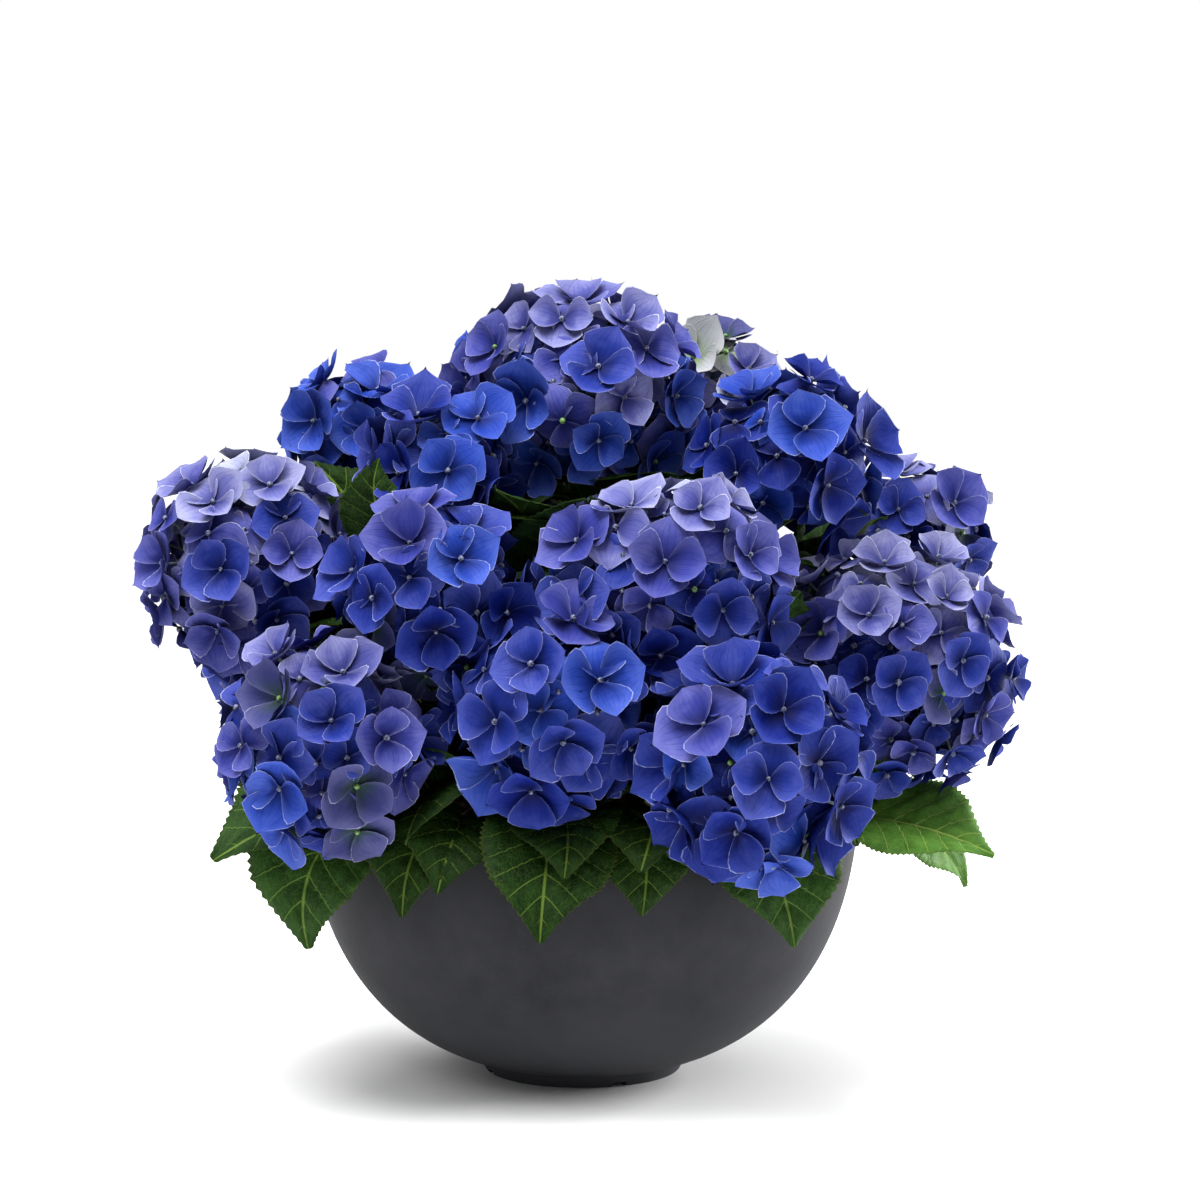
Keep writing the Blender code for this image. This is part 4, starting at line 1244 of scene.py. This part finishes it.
def overlapped(own, size):
    """A head's florets with how far their sepals bend down, each under those of the layers over it."""
    higher = []
    for floret in sorted(own, key=lambda floret: floret.layer):
        beside = [row for row in higher if (row[0].centre - floret.centre).length < BESIDE * size]
        bent = dips(floret, beside)
        if max(bent) > STEEPEST:
            sunk = floret.centre - CROWDED_SINK * floret.size * floret.way
            floret = floret._replace(size=CROWDED * floret.size, centre=sunk)
            bent = dips(floret, beside)
        higher.append((floret, [min(dip, STEEPEST) for dip in bent]))
    return higher


def add_rays(pile, number, dome):
    """Adds a head's stalk and the rays that it forks into, and gives the places where the rays end."""
    hub = dome.centre - dome.axis * BASE_SHARE * dome.radius
    stalk = [dome.foot() - STALK_TUCK * dome.axis, hub, hub + STALK_REACH * dome.axis]
    pile.add(*tube(stalk, HEAD_STALK_RADII, HEAD_STALK_SIDES))
    tips = []
    for ray in range(RAYS):
        way = faced(dome.axis) @ spiral(ray, 1 - (ray + 0.5) / RAYS * RAY_SPREAD, number)
        tip = dome.centre + min(RAY_REACH * dome.full(way), RAY_ROOM * dome.cut(way)) * way
        bend = hub + 0.45 * (tip - hub).length * (dome.axis + way).normalized()
        centres = run((hub, bend, tip.lerp(bend, 0.4), tip), steps(RAY_STEPS))
        pile.add(*tube(centres, tapered(*RAY_RADII, steps(RAY_STEPS)), RAY_SIDES))
        tips.append(tip)
    return tips


stalk_skin = grained("floret_stalk_skin", 0.5, 0.4, (130.0,), (0.35, 0.65), STALK_SHADES, (0.0003, 0.4))
dressed = []
pile = Pile()
rng = np.random.default_rng(47)
for number, (dome, look) in enumerate(zip(domes, LOOKS)):
    tips = add_rays(pile, number, dome)
    own = overlapped(spread_florets(number, dome, look, rng), FLORET_RADIUS * look.size)
    for floret, bent in own:
        tip = min(tips, key=lambda tip: (tip - floret.centre).length)
        end = floret.centre - FLORET_SEAT * floret.way
        curve = (tip, tip.lerp(end, 0.4), end - 0.35 * (end - tip).length * floret.way, end)
        centres = run(curve, FLORET_STALK_SHARES)
        pile.add(*tube(centres, FLORET_STALK_RADII, FLORET_STALK_SIDES))
    dressed += own
branching = pile.piece("floret_stalks", stalk_skin)


# The florets: four broad, overlapping sepals each, thin and velvety, cupped, with a rolled pale margin and
# fine veins that fan from the throat. Their colour holds painted light and shade: darker in the throat,
# lighter towards the tip and sides, and the pale margin is partly a painted highlight. Two sepals lie
# outside and two inside, as on the living flower. They are dealt by floret into tints from royal blue to
# faded cream, one joined piece to a tint.
SEPAL_ROWS = 8
SEPAL_COLUMNS = 6
SEPAL_BREADTH = 0.64
CLAW = 0.04  # half the breadth of a sepal at the floret's middle
SEPAL_SIZES = (0.93, 1.06)
INNER_SMALLER = 0.14  # how much shorter the inner pair is
INNER_LIFT = 0.075  # how far above the outer pair it begins, in floret radii
POINTS = (1.3, 2.1)  # the power of a sepal's outline: the lower, the more pointed its tip
SPOON, INNER_SPOON = 0.14, 0.34  # how hollow a sepal is across, and how much more an inner one
ROLLS_DOWN = (-0.15, 0.50)  # how far the tip rolls down, or up
OUTER_CURLS, INNER_CURLS = (-0.3, 0.2), (0.0, 1.2)  # how far the sides curl up
MIDLINE = 0.014  # depth of the crease along its middle
SEPAL_WAVE = 0.052
BLOTCH = (0.075, 0.018, 0.16)  # wine-coloured, where sun or rain has marked a sepal
TINTS = {  # the throat in painted shade, the blade, its painted light, the margin, partly painted highlight
    "royal": ((0.001, 0.002, 0.03), (0.003, 0.010, 0.135), (0.026, 0.042, 0.24), (0.34, 0.38, 0.60)),
    "cobalt": ((0.001, 0.006, 0.07), (0.012, 0.036, 0.265), (0.054, 0.092, 0.39), (0.44, 0.49, 0.73)),
    "blue": ((0.001, 0.004, 0.05), (0.009, 0.021, 0.18), (0.050, 0.066, 0.29), (0.38, 0.41, 0.62)),
    "violet": ((0.004, 0.006, 0.06), (0.027, 0.033, 0.20), (0.095, 0.10, 0.31), (0.47, 0.48, 0.66)),
    "mauve": ((0.012, 0.014, 0.09), (0.054, 0.058, 0.225), (0.18, 0.185, 0.37), (0.56, 0.57, 0.71)),
    "lilac": ((0.022, 0.025, 0.12), (0.095, 0.099, 0.28), (0.26, 0.265, 0.43), (0.65, 0.66, 0.77)),
    "pale": ((0.08, 0.10, 0.15), (0.18, 0.19, 0.33), (0.34, 0.355, 0.49), (0.70, 0.71, 0.77)),
    "faded": ((0.11, 0.16, 0.07), (0.24, 0.25, 0.27), (0.36, 0.36, 0.38), (0.62, 0.62, 0.62)),
    "dusky": ((0.018, 0.036, 0.03), (0.028, 0.031, 0.13), (0.075, 0.077, 0.20), (0.37, 0.37, 0.52)),
}


def petal_finish(name, shaded_throat, blade, painted_light, margin):
    """Velvety petal by its own map: sixteen cells, each a sepal with its own veins, clouds and blotches."""
    made = Finish(name, 0.52, 0.06, mapped=True)
    x, y, side, v = map_places(made)
    u = abs(side)
    cell = made.node("ShaderNodeCombineXYZ", None, {"X": x.whole(), "Y": y.whole()})
    chance = made.node("ShaderNodeTexWhiteNoise", {"noise_dimensions": "2D"}, {"Vector": cell}, "Value")
    cloud = made.noise(9.0, 3.0, 0.55)
    fine = made.noise(64.0, 4.0, 0.65)
    bent = side * (4.6 - v * 0.8) + (cloud - 0.5) * 0.5
    near = abs((bent + 0.5).part() - 0.5)
    veins = (1 - near.rise(0.02, 0.16)) * v.rise(0.04, 0.25) * (1 - v.rise(0.70, 0.98))
    thin = abs((bent * 3.0 + fine * 0.6).part() - 0.5)
    thin = (1 - thin.rise(0.05, 0.30)) * v.rise(0.25, 0.6)
    # the pale rim: partly the sepal's own thin edge, partly a painted highlight where it catches the light
    rim_and_highlight = u.math("MAXIMUM", u.rise(0.945, 1.0), v.rise(0.975, 1.0)) * fine.rise(0.25, 0.60)
    # painted shade, over the throat's own hue: darker from the blade into the throat round the eye
    colour = made.mix(v.rise(0.02, 0.62), shaded_throat, blade)
    # painted light: lighter towards the tip and in clouds
    colour = made.mix((v * 0.7 + cloud * 0.8 + chance * 0.3).rise(0.80, 1.40), colour, painted_light)
    colour = made.mix(veins * 0.20 + thin * 0.12, colour, shaded_throat)
    # painted light: lighter towards the sides
    colour = made.mix(u.rise(0.40, 1.0) * 0.50, colour, painted_light)
    blotch = (cloud * 0.8 + fine * 0.35 + chance * 0.12).rise(0.80, 0.90) * v.rise(0.3, 0.6)
    colour = made.mix(blotch * 0.45, colour, BLOTCH)
    colour = made.mix(rim_and_highlight * (0.15 + chance * 0.65), colour, margin)
    return made.wear(colour, 0.46 + fine * 0.16, veins * -0.7 + thin * -0.3 + fine * 0.4, 0.0003, 0.5)


def spread_over(values):
    """Values by floret, or by floret and sepal, as an array over the sepals' points."""
    values = np.array(values, float)
    return values.reshape(*values.shape, *[1] * (4 - values.ndim))


def sepals(some, rng):
    """Points of all sepals of some florets, and their places on the pattern map."""
    v, u = sheet_map(SEPAL_ROWS, SEPAL_COLUMNS)
    v = 0.5 * v + 0.5 * (1 - np.cos(np.pi * v)) / 2
    out = np.abs(u)
    shape = (len(some), 4, 1, 1)
    size = spread_over([floret.size for floret, _ in some]) * rng.uniform(*SEPAL_SIZES, shape)
    cup = spread_over([floret.cup for floret, _ in some]) + rng.normal(0, 0.04, shape)
    dip = spread_over([bent for _, bent in some])
    twist = spread_over([floret.twist for floret, _ in some])
    inner = spread_over(np.tile([0.0, 1.0, 0.0, 1.0], (len(some), 1)))
    size = size * (1 - INNER_SMALLER * inner)
    point = np.where(v < 0.5, 2.0, rng.uniform(*POINTS, shape) + 0.15 * inner)
    half = CLAW * (1 - v) + SEPAL_BREADTH * (1 - 0.06 * inner) * (1 - np.abs(2 * v**0.95 - 1) ** point)
    lean, skew = rng.normal(0, 0.04, shape), rng.normal(0, 0.06, shape)
    along = 0.035 + v * (1 + 0.07 * (1 - out) ** 2 * v**4)
    across = u * half * rng.uniform(0.94, 1.06, shape) + skew * v**2
    far = np.sqrt(along**2 + across**2)
    spoon = SPOON + INNER_SPOON * inner + rng.normal(0, 0.06, shape)
    roll = rng.uniform(*ROLLS_DOWN, shape)
    lift = cup * far**CUP_CURVE + spoon * u**2 * half**2 - roll * clipped(far - 0.62) ** 2
    lift = lift + lean * across + (inner - 0.5) * INNER_LIFT * clipped(1.2 - 0.7 * v)
    phase = rng.uniform(0.9, 1.7, shape) * v + rng.uniform(0, 1, shape)
    wave = np.sin(2 * np.pi * phase + 1.3 * np.sign(u))
    lift = lift + SEPAL_WAVE * wave * out**3 * half / SEPAL_BREADTH * np.clip(2.4 * v - 0.9, 0.1, 1)
    curl = rng.uniform(*OUTER_CURLS, shape) * (1 - inner) + rng.uniform(*INNER_CURLS, shape) * inner
    lift = lift + curl * clipped(out - 0.6) ** 2 * half
    lift = lift - dip * far**2
    lift = lift - MIDLINE * np.exp(-((u / 0.22) ** 2)) * v * (1 - v) * 4
    turn = twist + spread_over([turns(4)]) + rng.normal(0, 0.07, shape)
    x = size * (along * np.cos(turn) - across * np.sin(turn))
    y = size * (along * np.sin(turn) + across * np.cos(turn))
    points = np.array([floret.centre for floret, _ in some])[:, None, None, None, :]
    axes = [faced(floret.way) for floret, _ in some]
    for values, way in zip((x, y, size * lift), ((1, 0, 0), (0, 1, 0), (0, 0, 1))):
        ways = np.array([axis @ Vector(way) for axis in axes])[:, None, None, None, :]
        points = points + values[..., None] * ways
    cell = rng.integers(0, MAP_CELLS**2, shape)
    return points, cell_spots(u, v, cell % MAP_CELLS, cell // MAP_CELLS)


rng = np.random.default_rng(61)
sheet = grid_faces(SEPAL_ROWS + 1, SEPAL_COLUMNS + 1)
sheet_points = (SEPAL_ROWS + 1) * (SEPAL_COLUMNS + 1)
for tint, shades in TINTS.items():
    some = [(floret, bent) for floret, bent in dressed if floret.tint == tint]
    points, spots = sepals(some, rng)
    faces = (sheet + np.arange(4 * len(some))[:, None, None] * sheet_points).reshape(-1, 4)
    pile = Pile()
    pile.add(points, faces, spots)
    made = pile.piece("petals_" + tint, petal_finish("petal_" + tint, *shades))
    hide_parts(*sorted({f"bloom_{floret.head + 1:02d}" for floret, _ in some}))


# The florets' eyes: a tight round bud of four folded petals in each floret's middle, dark blue on most and
# apple green on the faded, the dusky and a few others. It is a small lobed ball, seated on the claws.
EYE_RADIUS = 0.0019
EYE_ROWS = 5
EYE_SIDES = 8
EYE_LOBE = 0.10
EYE_SWEEP = (-0.35 * math.pi, 0.46 * math.pi)  # from its seat to just short of its top
EYE_TOP = 0.93
EYE_SIZES = (0.8, 1.15)
EYE_SEAT = (0.35, 0.03)  # its middle's height over the floret's, in its own and the floret's radii
EYES = {  # the finish, where its grain turns from one shade to the other, and the shades
    "eyes_blue": ("eye_blue", (0.42, 0.60), ((0.012, 0.014, 0.045), (0.14, 0.16, 0.24))),
    "eyes_green": ("eye_green", (0.35, 0.65), ((0.045, 0.11, 0.030), (0.16, 0.30, 0.09))),
}

climb = np.linspace(*EYE_SWEEP, EYE_ROWS)[:, None]
turn = turns(EYE_SIDES)
lobes = 1 - EYE_LOBE * np.abs(np.sin(2 * turn)) * np.cos(climb)
flat = lobes * np.cos(climb)
ball = np.stack([flat * np.cos(turn), flat * np.sin(turn), np.sin(climb) + 0 * turn], -1)
ball = [Vector(point) for point in np.vstack([ball.reshape(-1, 3), (0, 0, EYE_TOP)])]
ball_faces = grid_faces(EYE_ROWS, EYE_SIDES, closed=True).tolist()
ball_faces += capped(len(ball) - 1 - EYE_SIDES, EYE_SIDES, len(ball) - 1)
piles = {name: Pile() for name in EYES}
for floret, _ in dressed:
    axis = faced(floret.way)
    size = EYE_RADIUS * rng.uniform(*EYE_SIZES)
    seat = floret.centre + (EYE_SEAT[0] * size + EYE_SEAT[1] * floret.size) * floret.way
    pile = piles["eyes_green" if floret.eye else "eyes_blue"]
    pile.add([seat + size * (axis @ point) for point in ball], ball_faces)
for name, (skin, edges, shades) in EYES.items():
    eyes = piles[name].piece(name, grained(skin, 0.45, 0.4, (700.0,), edges, shades, (0.0002, 0.5)))


# The studio: a plain pale paper floor under a white surround that is bright at eye level and overhead, a
# large soft light above and in front, and one from each side. The camera looks as the photograph does.
FLOOR = 8  # from its middle to each edge
PAPER_WHITES = (0.86, 0.86, 0.86), (0.88, 0.88, 0.88)

paper = Finish("studio_floor", 0.7, 0.2)
paper.wear(paper.mix(paper.noise(3.0, 2.0), *PAPER_WHITES))
pile = Pile()
pile.add([(-FLOOR, -FLOOR, 0), (FLOOR, -FLOOR, 0), (FLOOR, FLOOR, 0), (-FLOOR, FLOOR, 0)], [(0, 1, 2, 3)])
floor = pile.piece("studio_floor", paper.material)
floor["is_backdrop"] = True

world = bpy.data.worlds.new("studio")
bpy.context.scene.world = world
world.use_nodes = True
surround = Wiring(world.node_tree)
height = surround.place("Generated").axis("Z")
sky = world.node_tree.nodes["Background"].inputs
surround.feed(sky["Color"], (1.0, 1.0, 1.0))
surround.feed(sky["Strength"], 1.0 - abs(height).rise(0.08, 0.16) * 0.80 + height.rise(0.45, 0.85) * 2.2)


def soft_light(name, place, aim, size, power):
    """A round lamp that faces its aim."""
    lamp = bpy.data.lights.new(name, "AREA")
    lamp.shape = "DISK"
    lamp.size = size
    lamp.energy = power
    made = put(name, lamp)
    made.location = place
    made.rotation_mode = "QUATERNION"
    made.rotation_quaternion = faced(Vector(place) - Vector(aim))


soft_light("key", (-0.5, -0.75, 2.3), (0, 0, 0.25), 1.5, 84)
soft_light("left_fill", (-2.2, 0.4, 1.0), (0, 0, 0.2), 1.4, 6)
soft_light("right_fill", (2.1, 0.9, 0.6), (0, 0, 0.1), 1.4, 112)

CAMERA_PLACE = (0.011, -2.2, 0.506)
CAMERA_PITCH = 5.40
FOCAL_LENGTH = 105.36
lens = bpy.data.cameras.new("camera")
lens.sensor_width = 36
lens.lens = FOCAL_LENGTH
camera = put("camera", lens)
camera.location = CAMERA_PLACE
camera.rotation_euler = (math.radians(90 - CAMERA_PITCH), 0, 0)
bpy.context.scene.camera = camera
bpy.context.scene.view_settings.view_transform = "Standard"

low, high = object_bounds()
